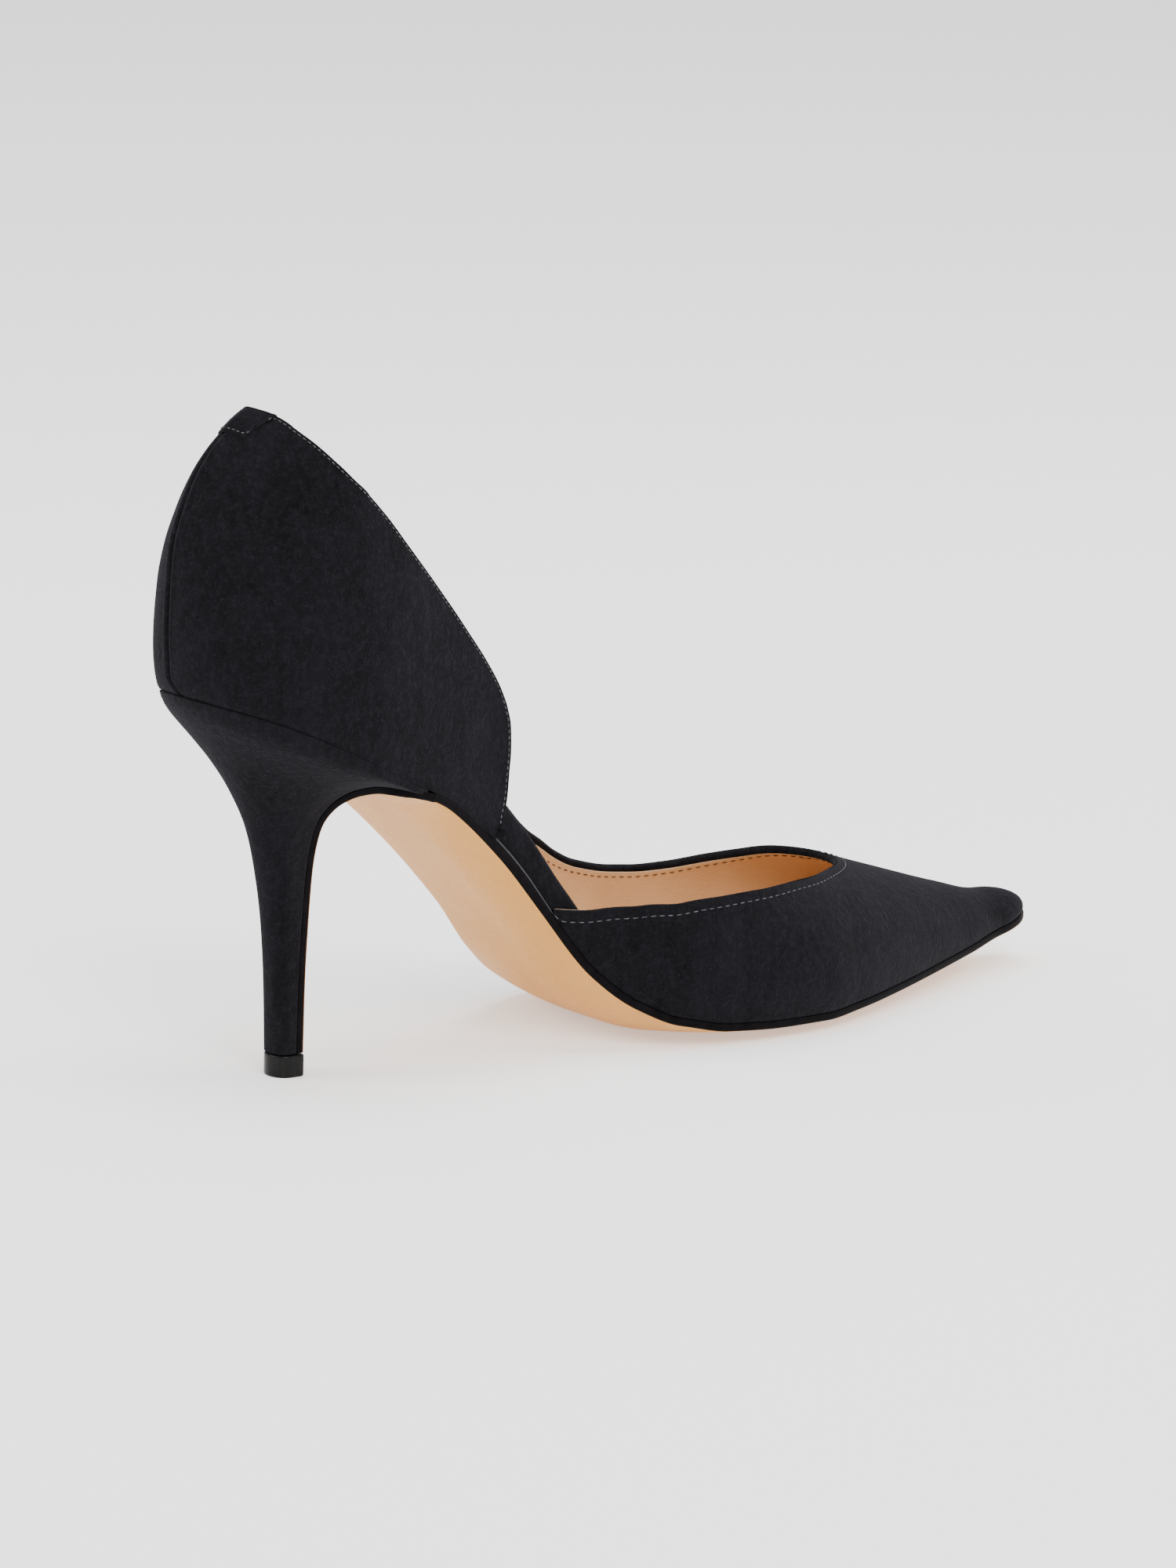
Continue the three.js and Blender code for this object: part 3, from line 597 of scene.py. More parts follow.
def suede_finish():
    """Black suede: a brushed nap, darker and lighter in soft patches, with a fine fibre grain."""
    dark, middle, light = (0.0024, 0.0023, 0.003), (0.0048, 0.0046, 0.0059), (0.0165, 0.0158, 0.0195)
    finish = Finish("black_suede", middle, 0.95, Sheen_Weight=0.04, Sheen_Roughness=0.5,
                    Sheen_Tint=(0.8, 0.8, 0.92, 1), Specular_IOR_Level=0.04)
    patches = finish.levels(finish.noise(42, 4, 0.62, 0.6), 0.34, 0.66)
    brushed = finish.levels(finish.noise(170, 5, 0.72, 1.4, (1, 1, 0.45)), 0.34, 0.74)
    fibres = finish.noise(3200, 3, 0.75)
    flecks = finish.levels(finish.noise(620, 3, 0.7), 0.47, 0.7)
    specks = finish.levels(finish.noise(1500, 2, 0.65), 0.55, 0.74)
    nap = finish.mix(patches, dark, middle)
    nap = finish.mix(finish.math("MULTIPLY", brushed, 0.24), nap, light)
    nap = finish.mix(finish.math("MULTIPLY", flecks, 0.26), nap, light)
    nap = finish.mix(finish.math("MULTIPLY", specks, 0.42), nap, light)
    finish.colour(nap)
    finish.roughness(finish.levels(fibres, 0.3, 0.7, 0.88, 1.0))
    finish.bump((brushed, 0.00014), (flecks, 0.00012), (fibres, 0.00012))
    return finish.material


def lining_finish():
    """Tan lining leather: smooth, with a fine pore grain and a slight cloudiness."""
    finish = Finish("tan_lining", (0.62, 0.37, 0.185), 0.55, Specular_IOR_Level=0.3)
    clouds = finish.levels(finish.noise(60, 3, 0.55), 0.3, 0.7)
    finish.colour(finish.mix(clouds, (0.58, 0.34, 0.165), (0.66, 0.405, 0.21)))
    pores = finish.levels(finish.cells(1400), 0.0, 0.25)
    finish.roughness(finish.levels(pores, 0, 1, 0.65, 0.52))
    finish.bump((pores, 0.00004), (finish.noise(2600, 2, 0.6), 0.00002))
    return finish.material


def sole_finish():
    """Smooth tan sole leather with faint fibre streaks and a light polish."""
    finish = Finish("tan_sole_leather", (0.6, 0.28, 0.055), 0.5, Specular_IOR_Level=0.25)
    clouds = finish.levels(finish.noise(35, 4, 0.55), 0.3, 0.7)
    streaks = finish.levels(finish.noise(900, 3, 0.6, 0.0, (0.12, 1, 1)), 0.3, 0.75)
    base = finish.mix(clouds, (0.57, 0.26, 0.047), (0.635, 0.305, 0.068))
    finish.colour(finish.mix(finish.math("MULTIPLY", streaks, 0.16), base, (0.39, 0.17, 0.04)))
    finish.roughness(finish.levels(streaks, 0, 1, 0.4, 0.52))
    finish.bump((streaks, 0.00002), (finish.noise(2200, 3, 0.6), 0.000015))
    return finish.material


def painted_edge_finish():
    """Black edge paint over leather: a soft gloss with slight waves."""
    finish = Finish("black_edge_paint", (0.0038, 0.0032, 0.0037), 0.5, Specular_IOR_Level=0.03)
    waves = finish.noise(420, 3, 0.55)
    finish.colour(finish.mix(finish.levels(waves, 0.35, 0.7), (0.0028, 0.0023, 0.0027), (0.0055, 0.0045, 0.0053)))
    finish.roughness(finish.levels(waves, 0.3, 0.7, 0.48, 0.64))
    finish.bump((waves, 0.00006))
    return finish.material


def top_piece_finish():
    """Glossy black plastic with faint scuffs."""
    finish = Finish("gloss_black", (0.005, 0.005, 0.0052), 0.3, Specular_IOR_Level=0.12)
    scuffs = finish.levels(finish.noise(700, 4, 0.7, 0.0, (1, 1, 0.3)), 0.45, 0.8)
    finish.colour(finish.mix(scuffs, (0.0045, 0.0045, 0.0046), (0.011, 0.0105, 0.01)))
    finish.roughness(finish.levels(scuffs, 0, 1, 0.2, 0.38))
    finish.bump((scuffs, 0.00002))
    return finish.material


def thread_finish(name, dark, light):
    """Twisted thread: light and dark bands at the plies' pitch."""
    finish = Finish(name, light, 0.65, Specular_IOR_Level=0.2)
    plies = finish.levels(finish.noise(2600, 2, 0.5), 0.35, 0.65)
    finish.colour(finish.mix(plies, dark, light))
    finish.bump((plies, 0.00005))
    return finish.material


suede = suede_finish()
lining = lining_finish()
sole_leather = sole_finish()
edge_paint = painted_edge_finish()
gloss_black = top_piece_finish()
grey_thread = thread_finish("grey_thread", (0.03, 0.029, 0.032), (0.105, 0.1, 0.108))
brown_thread = thread_finish("brown_thread", (0.05, 0.022, 0.01), (0.13, 0.06, 0.026))
# pale colours painted on the lining's edge as its highlight
lining_edge_highlight_paint = thread_finish("lining_edge_painted_highlight", (0.6, 0.4, 0.24), (0.78, 0.56, 0.37))
# grey painted lighter than the edge paint: the highlight along the joint of the inner band and the outsole
painted_highlight_cord = thread_finish("painted_highlight_cord", (0.032, 0.031, 0.034), (0.055, 0.053, 0.058))


# Upper: the wall's outer face, with the groove of the back seam, and the topline's edge folded in.
lines, closed_from, closed_to, back_from, back_count = upper_lines()
line_count, rise_count = lines.shape[:2]
wall_faces = quads(line_count, rise_count)[:, ::-1]
flat = lines.reshape(-1, 3)
wall_normals = grid_normals(flat, wall_faces)
middle_line = back_from + back_count // 2
if np.dot(wall_normals[middle_line * rise_count + 5], (1, 0, 0)) > 0:
    wall_faces = wall_faces[:, ::-1]
    wall_normals = -wall_normals
wall_normals = wall_normals.reshape(lines.shape)


def seam_offset():
    """The back seam: a groove between two low ridges. Near its foot it bends to the inner side."""
    offset = np.zeros(lines.shape[:2])
    span = slice(back_from - 8, back_from + back_count + 8)
    away = np.linalg.norm(lines[span] - lines[middle_line], axis=2)
    away[:middle_line - span.start] *= -1
    away -= SEAM_BEND * np.clip(1 - RISES / SEAM_BEND_RISE, 0, 1) ** 1.3
    groove = -SEAM_DEPTH * np.exp(-((away / SEAM_HALF) ** 2))
    ridge = 0.28 * SEAM_DEPTH * np.exp(-(((np.abs(away) - 2.6 * SEAM_HALF) / SEAM_HALF) ** 2))
    offset[span] = groove + ridge
    return offset


def soft_wear():
    """Slow, shallow waves of the wall, as of a worn last-shaped upper: up to a sixth of a millimetre."""
    x, y, z = np.moveaxis(lines, -1, 0)
    wave = np.sin(x * 0.19 + 1.3 * np.sin(z * 0.11)) * np.sin(z * 0.23 + y * 0.17)
    low = np.sin(x * 0.07 + z * 0.09 + 1.1) * np.cos(y * 0.11 - z * 0.05)
    return 0.07 * wave + 0.1 * low


fade = np.sin(np.clip(RISES, 0, 1) * math.pi) ** 0.5
above_foot = np.linalg.norm(lines - lines[:, :1], axis=2)
tuck = FOOT_TUCK * np.exp(-((above_foot / FOOT_ROUND) ** 2))
surface = lines + wall_normals * (seam_offset() + soft_wear() * fade - tuck)[..., None]
opened = np.r_[0:closed_from + 1, closed_to:line_count]
edge = surface[opened, -1]
edge_normals = unit(wall_normals[opened, -1])
apart = np.linalg.norm(np.diff(edge, axis=0), axis=1) > 1e-3
edge_kept = np.r_[True, apart]


def edge_ups():
    """At each open top, the direction in the wall that is square to the topline."""
    points = edge[edge_kept]
    along = unit(np.gradient(points, axis=0))
    up = np.cross(along, edge_normals[edge_kept])
    lower = surface[opened, -3][edge_kept]
    sign = np.sign(np.median(np.sum(up * (points - lower), axis=1)))
    full = np.zeros_like(edge)
    up = unit(up * sign)
    for _ in range(6):
        up[1:-1] = unit(up[:-2] + up[1:-1] + up[2:])
    full[edge_kept] = up
    for i in np.flatnonzero(~edge_kept):
        full[i] = full[i - 1]
    return full


edge_up = edge_ups()
# By the waist the outer side leans in, and its fold reaches further down inside.
far_fold = 1 + 0.6 * np.exp(-(((edge[:, 0] - 112) / 20) ** 2)) * (edge[:, 1] > 0)
far_fold = far_fold[:, None]


def fold_profile():
    """(towards the inside, up) along the fold's section, in millimetres, from the outer face."""
    half = UPPER_WALL / 2
    angle = np.linspace(0, math.pi, 11)
    arc = [(half - (half - 0.1 * math.sin(a)) * math.cos(a), EDGE_FOLD * math.sin(a) - 0.3) for a in angle]
    inside = UPPER_WALL - LINING_STEP
    return arc[1:] + [(inside, -0.6), (inside, -FOLD_RETURN)]


def suede_upper():
    outer = surface.copy()
    outer[opened, -1] -= 0.3 * edge_up
    points = [outer.reshape(-1, 3)]
    faces = [wall_faces]
    profile = fold_profile()
    rows = [outer[opened, -1]]
    rows += [edge - depth * edge_normals + (up if up > -1 else up * far_fold) * edge_up for depth, up in profile]
    fold = np.stack(rows, axis=1)
    start = line_count * rise_count
    points.append(fold.reshape(-1, 3))
    fold_faces = quads(len(opened), len(rows), start)
    if wall_faces[0][1] > wall_faces[0][0] + 1:
        faces.append(fold_faces)
    else:
        faces.append(fold_faces[:, ::-1])
    start += fold.shape[0] * fold.shape[1]
    foot = np.stack([surface[:, 0], surface[:, 0] - (UPPER_WALL - 0.2) * wall_normals[:, 0]], axis=1)
    points.append(foot.reshape(-1, 3))
    faces.append(quads(line_count, 2, start))
    return add_piece("suede_upper", np.concatenate(points), np.concatenate(faces), suede, "upper")


def upper_lining():
    """The lining: the wall's inner face, whose edge stands a little proud of the fold under it."""
    inner = lines - UPPER_WALL * wall_normals
    evened = inner.copy()
    for _ in range(16):
        evened[1:-1] = (evened[:-2] + 2 * evened[1:-1] + evened[2:]) / 4
    inner = lerp(inner, evened, np.clip((1 - RISES) / 0.2, 0, 1)[..., None])
    inner[opened, -1] -= LINING_DROP * far_fold * edge_up
    rolled = inner[:, -1] + 0.25 * wall_normals[:, -1]
    closed = np.setdiff1d(np.arange(line_count), opened)
    rolled[closed] = inner[closed, -1]
    for k in range(-2, -10, -1):
        low = np.sum((inner[opened, k] - inner[opened, -1]) * edge_up, axis=1)
        inner[opened, k] -= np.maximum(0, low + 0.15 * -k)[:, None] * edge_up
    tall = lines[:, -1, 2] - lines[:, 0, 2] > LINING_SHORTEST
    grid = np.concatenate([inner, rolled[:, None]], axis=1)[tall]
    faces = quads(*grid.shape[:2])
    if wall_faces[0][1] > wall_faces[0][0] + 1:
        faces = faces[:, ::-1]
    return add_piece("lining", grid.reshape(-1, 3), faces, lining, None)


suede_upper()
upper_lining()


# Stitches lie on a surface along a line, each one a short thread whose ends dip in.
def bvh_of(points, faces):
    return BVHTree.FromPolygons([Vector(p) for p in points.tolist()], np.asarray(faces).tolist())


def resampled(points, pitch, skip=(0, 0)):
    """Points along an open line at an even pitch, without the lengths skipped at its two ends."""
    points = points[np.r_[True, np.linalg.norm(np.diff(points, axis=0), axis=1) > 1e-4]]
    at = np.r_[0, np.cumsum(np.linalg.norm(np.diff(points, axis=0), axis=1))]
    places = np.arange(skip[0], at[-1] - skip[1], pitch)
    return np.stack([np.interp(places, at, points[:, k]) for k in range(3)], axis=1)


def smoothed(points, rounds=12):
    points = resampled(points, 0.5)
    for _ in range(rounds):
        points[1:-1] = (points[:-2] + 2 * points[1:-1] + points[2:]) / 4
    return points


def tube(path, ups, radii, corners=6):
    """A closed tube's points and faces. Where the radius is nothing, it comes to a point."""
    ring = np.linspace(0, 2 * math.pi, corners + 1)
    along = unit(np.gradient(path, axis=0))
    across = unit(np.cross(along, ups))
    level = np.cross(across, along)
    round_it = np.cos(ring)[None, :, None] * across[:, None] + np.sin(ring)[None, :, None] * level[:, None]
    round_it[:, -1] = round_it[:, 0]
    points = path[:, None] + np.asarray(radii)[:, None, None] * round_it
    return points.reshape(-1, 3), quads(*points.shape[:2])


def add_tubes(name, tubes, material):
    starts = np.cumsum([0] + [len(points) for points, _ in tubes[:-1]])
    faces = [patch + start for (_, patch), start in zip(tubes, starts)]
    return add_piece(name, np.concatenate([points for points, _ in tubes]), np.concatenate(faces), material,
                     None)


def stitches(line, tree, pitch, radius, skip=(0, 0), side=1):
    """Tubes of a row of stitches along line, each with its ends dipping into the surface that tree holds.
    side: 1 on the side of the surface's normals, -1 on the other."""
    steps = 20
    fine = resampled(smoothed(line), pitch / steps, skip)
    reach = round(steps * STITCH_SHARE)
    t = np.linspace(0, 1, 9)
    bow = np.sin(t * math.pi)
    tubes = []
    for first in range(0, len(fine) - reach, steps):
        run = fine[np.linspace(first, first + reach, len(t)).round().astype(int)]
        ahead = fine[min(first + 2 * steps, len(fine) - 1)] - fine[max(first - steps, 0)]
        if unit(ahead) @ unit(run[-1] - run[0]) < 0.9:
            continue
        found = [tree.find_nearest(Vector(place))[:2] for place in run]
        path = np.array([place for place, _ in found])
        ups = side * unit(np.array([normal for _, normal in found]))
        if np.linalg.norm(path - run, axis=1).max() > 0.35 or (ups @ ups[0]).min() < 0.85:
            continue
        path = path + ups * (radius * (1.3 * bow**0.55 - 0.75))[:, None]
        tubes.append(tube(path, ups, radius * bow**0.35))
    return tubes


outer_tree = bvh_of(surface.reshape(-1, 3), wall_faces)
lining_tree = bvh_of((lines - UPPER_WALL * wall_normals).reshape(-1, 3), wall_faces)
tab_place = int(np.flatnonzero(opened == middle_line)[0])


def topline_stitches():
    """The outer row, well in from the vamp's edge and close in to the quarter's, and the lining's own row."""
    index = np.arange(len(opened))
    fallen = np.clip((index - tab_place + 130) / 60, 0, 1)
    inset = lerp(VAMP_STITCH_INSET, QUARTER_STITCH_INSET, fallen)
    inset = np.minimum(inset, np.maximum(0.5, above_foot[opened, -1] - 0.45))
    inset += 0.4 * np.clip(1 - (index - tab_place) / 60, 0, 1) * (index > tab_place)
    row = edge - inset[:, None] * edge_up
    vamp = row[edge_kept & (index < tab_place)]
    rear = row[edge_kept & (index >= tab_place)]
    behind_tab = TAB_WIDTH / 2 + 0.5
    tubes = stitches(vamp, outer_tree, VAMP_STITCH_PITCH, THREAD_RADIUS, (0.4, behind_tab))
    tubes += stitches(rear, outer_tree, QUARTER_STITCH_PITCH, THREAD_RADIUS, (behind_tab, 1.5))
    add_tubes("topline_stitches", tubes, grey_thread)
    inset = LINING_STITCH_INSET + LINING_DROP * (far_fold - 1)
    inside = (edge - UPPER_WALL * edge_normals - inset * edge_up)[edge_kept]
    tubes = stitches(inside, lining_tree, VAMP_STITCH_PITCH, THREAD_RADIUS, (8, 14), -1)
    add_tubes("lining_stitches", tubes, brown_thread)


def lining_edge():
    """The lining's edge under the fold, a line painted pale as the highlight it catches. By the vamp's inner
    corner it comes up to the top.
    """
    index = np.arange(len(opened))
    reach = np.linalg.norm(edge - edge[0], axis=1)
    drop = lerp(0.02, LINING_DROP, np.clip((reach - 8) / 14, 0, 1))
    drop = np.where(index < tab_place, drop, LINING_DROP)
    path = (edge - (UPPER_WALL - 0.1) * edge_normals - drop[:, None] * far_fold * edge_up)[edge_kept]
    path = resampled(smoothed(path, 3), 0.6, (0.3, 7))
    ups = np.array([lining_tree.find_nearest(Vector(place))[1] for place in path])
    radii = np.full(len(path), 0.13)
    radii[[0, -1]] = 0
    # the pale colour is a painted highlight on the lining's edge
    add_tubes("lining_edge", [tube(path, ups, radii)], lining_edge_highlight_paint)


topline_stitches()
lining_edge()


# Tab: the patch over the back seam's upper end.
def tab_half_turn():
    turns = np.linspace(0, math.pi / 2, 201)
    top = back_points(turns, back_top(turns))
    far = np.linalg.norm(top - top[0], axis=1) >= TAB_WIDTH / 2
    return turns[np.argmax(far)]


def back_tab():
    crest = CREST_HEIGHT * last.crest(0)
    half_turn = tab_half_turn()
    across = np.linspace(1, -1, 161)
    turn = (np.sign(across) * np.abs(across) ** 1.3 * half_turn)[:, None]
    top = back_top(turn)
    drop = (TAB_DROP * tab_edge(np.abs(across)))[:, None]
    down = np.linspace(0, 1, 24)[None, :]
    grid = back_points(turn, lerp(top - drop / crest, top, down))
    faces = quads(*grid.shape[:2])
    normals = grid_normals(grid.reshape(-1, 3), faces)
    if normals[len(normals) // 2] @ np.array([1, 0, 0]) > 0:
        faces, normals = faces[:, ::-1], -normals
    normals = normals.reshape(grid.shape)
    rim = np.minimum.reduce([
        np.broadcast_to((1 - np.abs(across))[:, None] * TAB_WIDTH / 2, grid.shape[:2]),
        np.broadcast_to(down * drop, grid.shape[:2]),
    ])
    height = 0.14 + 0.36 * TAB_THICKNESS * np.clip(rim / 0.35, 0, 1) ** 0.5
    height -= 0.1 * np.exp(-(((rim - 0.7) / 0.25) ** 2))
    outer = grid + normals * height[..., None]
    base = grid + normals * 0.1
    rows, columns = grid.shape[:2]
    points = np.concatenate([outer.reshape(-1, 3), base.reshape(-1, 3)])
    border = [i * columns for i in range(rows)]
    border += [(rows - 1) * columns + j for j in range(1, columns)]
    border += [i * columns + columns - 1 for i in range(rows - 2, -1, -1)]
    border += [j for j in range(columns - 2, 0, -1)]
    shift = rows * columns
    side = [[a, b, b + shift, a + shift] for a, b in zip(border, border[1:] + border[:1])]
    add_piece("back_tab_suede", points, np.concatenate([faces, side]), suede, "back_tab")
    tree = bvh_of(outer.reshape(-1, 3), faces)
    inner_rows = slice(3, rows - 3)
    low = 4
    row = np.concatenate([outer[2, low:-1][::-1], outer[inner_rows, low - 1], outer[-3, low:-1]])
    tubes = stitches(row, tree, 0.85 * QUARTER_STITCH_PITCH, THREAD_RADIUS)
    add_tubes("tab_stitches", tubes, grey_thread)


back_tab()


# Insole: a tan sock over the board, and the black wrapped band where the inner side lies open.
ACROSS = np.linspace(-1, 1, 61)
OPEN_FROM = QUARTER_LINES[-1][0] * LAST_LENGTH - 4
OPEN_TO = VAMP_CORNER + 2


def bed_rows(x, inner_inset, outer_inset, across=ACROSS):
    x = np.asarray(x, float)[:, None]
    side = np.where(across < 0, INNER, OUTER)[None, :]
    inset = np.where(side < 0, np.broadcast_to(inner_inset, x.shape), np.broadcast_to(outer_inset, x.shape))
    y = across[None, :] * half_width(x, side, inset)
    return stack(x, y, bed_height(x, y))


def side_view_normals(rows):
    """Upward normals square to the bed's side view, at each point of a grid of rows across it."""
    normals = grid_normals(rows.reshape(-1, 3), quads(*rows.shape[:2])).reshape(rows.shape)
    normals[..., 1] = 0
    return unit(normals * np.where(normals[..., 2:] < 0, -1, 1))


def insole_pieces():
    inset = UPPER_WALL + 0.1
    start = lerp(inset, HEEL_CENTRE, 1 - np.cos(np.linspace(0, math.pi / 2, 30)))
    end = lerp(TOE_CENTRE, LAST_LENGTH - inset, np.sin(np.linspace(0, math.pi / 2, 14)))
    x = np.concatenate([start, np.linspace(HEEL_CENTRE, TOE_CENTRE, 160)[1:-1], end])
    rows = bed_rows(x, inset, inset)
    up = side_view_normals(rows)
    depth = insole_depth(x / LAST_LENGTH)[:, None, None]
    round_off = 0.9 * (1 - round_end((np.abs(ACROSS) - 0.94) / 0.06, 2))[None, :, None]
    top = rows + up * (SETTLE + depth - round_off)
    wrapped = 3
    sock = top[:, wrapped:]
    add_piece("insole_sock", sock.reshape(-1, 3), quads(*sock.shape[:2]), lining, None)
    base = rows + up * SETTLE
    up_the_side = np.linspace(0, 1, 9)
    inner_side = np.stack([lerp(base[:, 0], top[:, 0], t) for t in up_the_side], axis=1)
    inner_side -= stack(0, 0.18 * np.sin(up_the_side * math.pi), 0)[None]
    over = top[:, 1:wrapped + 2] + up[:, 1:wrapped + 2] * np.linspace(0.02, 0.12, wrapped + 1)[None, :, None]
    outer_side = np.stack([top[:, -1], base[:, -1]], axis=1)
    points, faces = joined([np.concatenate([inner_side, over], axis=1), outer_side, base[:, ::-1]])
    add_piece("insole_wrap", points, faces, suede, "insole")


def waist_rims():
    """Where the inner side lies open, the outsole's rim stands up beside the band: a black one, and a grey cord
    whose lighter colour is a painted highlight along the joint of band and sole.
    """
    x = np.linspace(OPEN_FROM, OPEN_TO, 60)
    fall = np.clip((OPEN_TO - x) / 9, 0, 1)
    for name, inset, rise, radius, material in (
        # the grey cord's colour is a painted highlight, the light caught along the joint of band and outsole
        ("waist_rim", 0.6, 0.35, 0.5, edge_paint), ("waist_highlight_cord", 0.42, 0.85, HIGHLIGHT_CORD_RADIUS, painted_highlight_cord),
    ):
        rows = bed_rows(x, inset, inset)
        up = side_view_normals(rows)[:, 0]
        radii = np.full(len(x), radius)
        radii[[0, -1]] = 0
        path = rows[:, 0] + up * (SETTLE + rise * lerp(0.2, 1, fall))[:, None]
        add_tubes(name, [tube(path, up, radii, 8)], material)


insole_pieces()
waist_rims()


# Outsole: its tan face below, its painted edge, and the flap that runs down the heel's front.
def breast_point(t, clearance):
    delta = 1e-3
    low, high = np.maximum(0, t - delta), np.minimum(1, t + delta)
    tangent = unit(np.stack([
        (breast.x(high) - breast.x(low)) * LAST_LENGTH, (breast.z(high) - breast.z(low)) * HEEL_HEIGHT,
    ], axis=-1))
    x = breast.x(t) * LAST_LENGTH + tangent[..., 1] * clearance
    return x, breast.z(t) * HEEL_HEIGHT - tangent[..., 0] * clearance


def breast_rows(t, clearance, across=ACROSS):
    t = np.asarray(t, float)[:, None]
    x, z = breast_point(t, clearance)
    half = breast.half(t) * BALL_WIDTH
    fallen = np.clip(t / (1.2 * HEEL_TABLE[1][2]), 0, 1)
    curled = 1 - fallen**2 * (3 - 2 * fallen)
    y = across[None, :] * half
    return stack(x, y, z + curled * curl(x, y))


def outsole_pieces():
    flap_start = BREAST_TABLE[0][0] * LAST_LENGTH
    toe = lerp(TOE_CENTRE, LAST_LENGTH, np.sin(np.linspace(0, math.pi / 2, 22)))[::-1]
    plate = np.linspace(TOE_CENTRE, flap_start, 190)[1:-1]
    turn = np.linspace(0, HEEL_TABLE[0][2], 14)[:-1]
    down = heel.breast(np.linspace(0, 1, 90))
    upper_face = np.concatenate([
        bed_rows(np.concatenate([toe, plate]), 0.0, 0.0),
        breast_rows(np.concatenate([turn, down]), 0.0),
    ])
    normals = grid_normals(upper_face.reshape(-1, 3), quads(*upper_face.shape[:2])).reshape(upper_face.shape)
    if normals[60, 30, 2] < 0:
        normals = -normals
    normals[..., 1] = 0
    normals = unit(normals)
    lower_face = upper_face - normals * SOLE_THICKNESS
    bevel = 0.45
    rows = len(upper_face)
    width = np.abs(lower_face[:, -1, 1] - lower_face[:, 0, 1])[:, None]
    inward = np.sign(ACROSS)[None, :] * np.minimum(bevel, width * 0.2)
    face = lower_face.copy()
    face[..., 1] -= np.where(np.abs(ACROSS) > 0.999, inward, 0)
    toe_shift = np.clip(1 - np.linalg.norm(face - face[0], axis=2) / 2, 0, 1) * bevel
    face[..., 0] -= toe_shift
    faces = quads(rows, len(ACROSS))
    add_piece("outsole_face", face.reshape(-1, 3), faces, sole_leather, "outsole")
    strips = []
    for column, side in ((0, -1), (len(ACROSS) - 1, 1)):
        top = upper_face[:, column]
        low = lower_face[:, column]
        out = np.array([0, side, 0])
        inner_top = top - out * np.minimum(2.2, width * 0.2)
        steps_down = np.linspace(0, 1, 7)
        swell = 0.12 * np.sin(steps_down * math.pi)
        wall = [lerp(top, low + normals[:, column] * 0.3, s) + out * w for s, w in zip(steps_down, swell)]
        strip = np.stack([inner_top] + wall + [face[:, column] - normals[:, column] * 0.02,
                                               face[:, column] - out * 0.35 - normals[:, column] * 0.03], axis=1)
        strips.append((strip, side))
    points, all_faces, start = [], [], 0
    for strip, side in strips:
        patch = quads(*strip.shape[:2], start)
        all_faces.append(patch if side < 0 else patch[:, ::-1])
        points.append(strip.reshape(-1, 3))
        start += strip.shape[0] * strip.shape[1]
    end = np.stack([upper_face[-1], lower_face[-1]], axis=1)
    points.append(end.reshape(-1, 3))
    all_faces.append(quads(len(ACROSS), 2, start))
    start += end.shape[0] * 2
    points.append(upper_face.reshape(-1, 3))
    all_faces.append(quads(rows, len(ACROSS), start)[:, ::-1])
    add_piece("outsole_edge", np.concatenate(points), np.concatenate(all_faces), edge_paint, None)


outsole_pieces()


# Heel: suede over a core, from the seat along the bed to its end at the top piece.
def half_ring(widest, behind=26, before=12):
    round_part = widest * (1 - np.cos(np.linspace(0, math.pi / 2, behind)) ** (2 / HEEL_POWER))
    return np.concatenate([round_part, np.linspace(widest, 1, before)[1:]])


def heel_ring(t):
    front = breast_rows([heel.breast(t)], 0.12)[0]
    middle = front[len(front) // 2]
    back_x, back_z = heel.back_x(t) * LAST_LENGTH, heel.back_z(t) * HEEL_HEIGHT
    half = heel.half(t) * BALL_WIDTH
    corner = min(half, front[-1, 1])
    widest = heel.widest(t)
    along = half_ring(widest)
    behind = round_end((widest - along) / widest, HEEL_POWER)
    before = (along - widest) / (1 - widest)
    width = np.where(along < widest, half * behind, lerp(half, corner, before**2))
    x, z = lerp(back_x, middle[0], along), lerp(back_z, middle[2], along)
    inner = stack(x, -width, z)[::-1]
    outer = stack(x, width, z)[1:]
    return np.concatenate([inner, outer, front[1:-1][::-1]])


def seat_ring():
    front_x = float(breast_point(np.array(HEEL_TABLE[0][2]), 0)[0])
    along = half_ring(HEEL_CENTRE / front_x) * front_x
    inner = stack(along, FOOT_TUCK - half_width(along, INNER), 0)[::-1]
    outer = stack(along, half_width(along, OUTER) - FOOT_TUCK, 0)[1:]
    across = ACROSS[1:-1][::-1]
    front = stack(front_x, across * half_width(front_x, np.where(across < 0, INNER, OUTER)), 0)
    ring = np.concatenate([inner, outer, front])
    ring[:, 0] += back.lean(0) * np.maximum(0, HEEL_CENTRE - ring[:, 0])
    ring[:, 2] = bed_height(ring[:, 0], ring[:, 1])
    return ring


def heel_cover():
    rings = np.stack([heel_ring(t) for t in np.linspace(0, 1, 110)])
    seat = seat_ring()
    upper_rings = lerp(seat, rings[0], np.linspace(0, 1, 15)[:-1, None, None])
    full = upper_rings[3].copy()
    full[:, 1] += FOOT_TUCK * np.sign(full[:, 1])
    upper_rings[3:] += (full - upper_rings[3]) * np.linspace(1, 0, len(upper_rings) - 3)[:, None, None]
    rings = np.concatenate([upper_rings, rings])
    front = len(ACROSS) - 2
    for _ in range(60):
        rings[1:50, :-front] = (rings[:49, :-front] + 2 * rings[1:50, :-front] + rings[2:51, :-front]) / 4
    middle = np.array([seat[:, 0].mean(), 0, 0])
    under = seat + 1.2 * unit((middle - seat) * (1, 1, 0)) + (0, 0, 0.45)
    centre = np.tile(under.mean(axis=0), (len(seat), 1))
    closed = np.concatenate([centre[None], under[None], rings])
    closed = np.concatenate([closed, closed[:, :1]], axis=1)
    faces = quads(*closed.shape[:2])
    add_piece("heel_suede", closed.reshape(-1, 3), faces, suede, "heel")
    return rings


heel_rings = heel_cover()


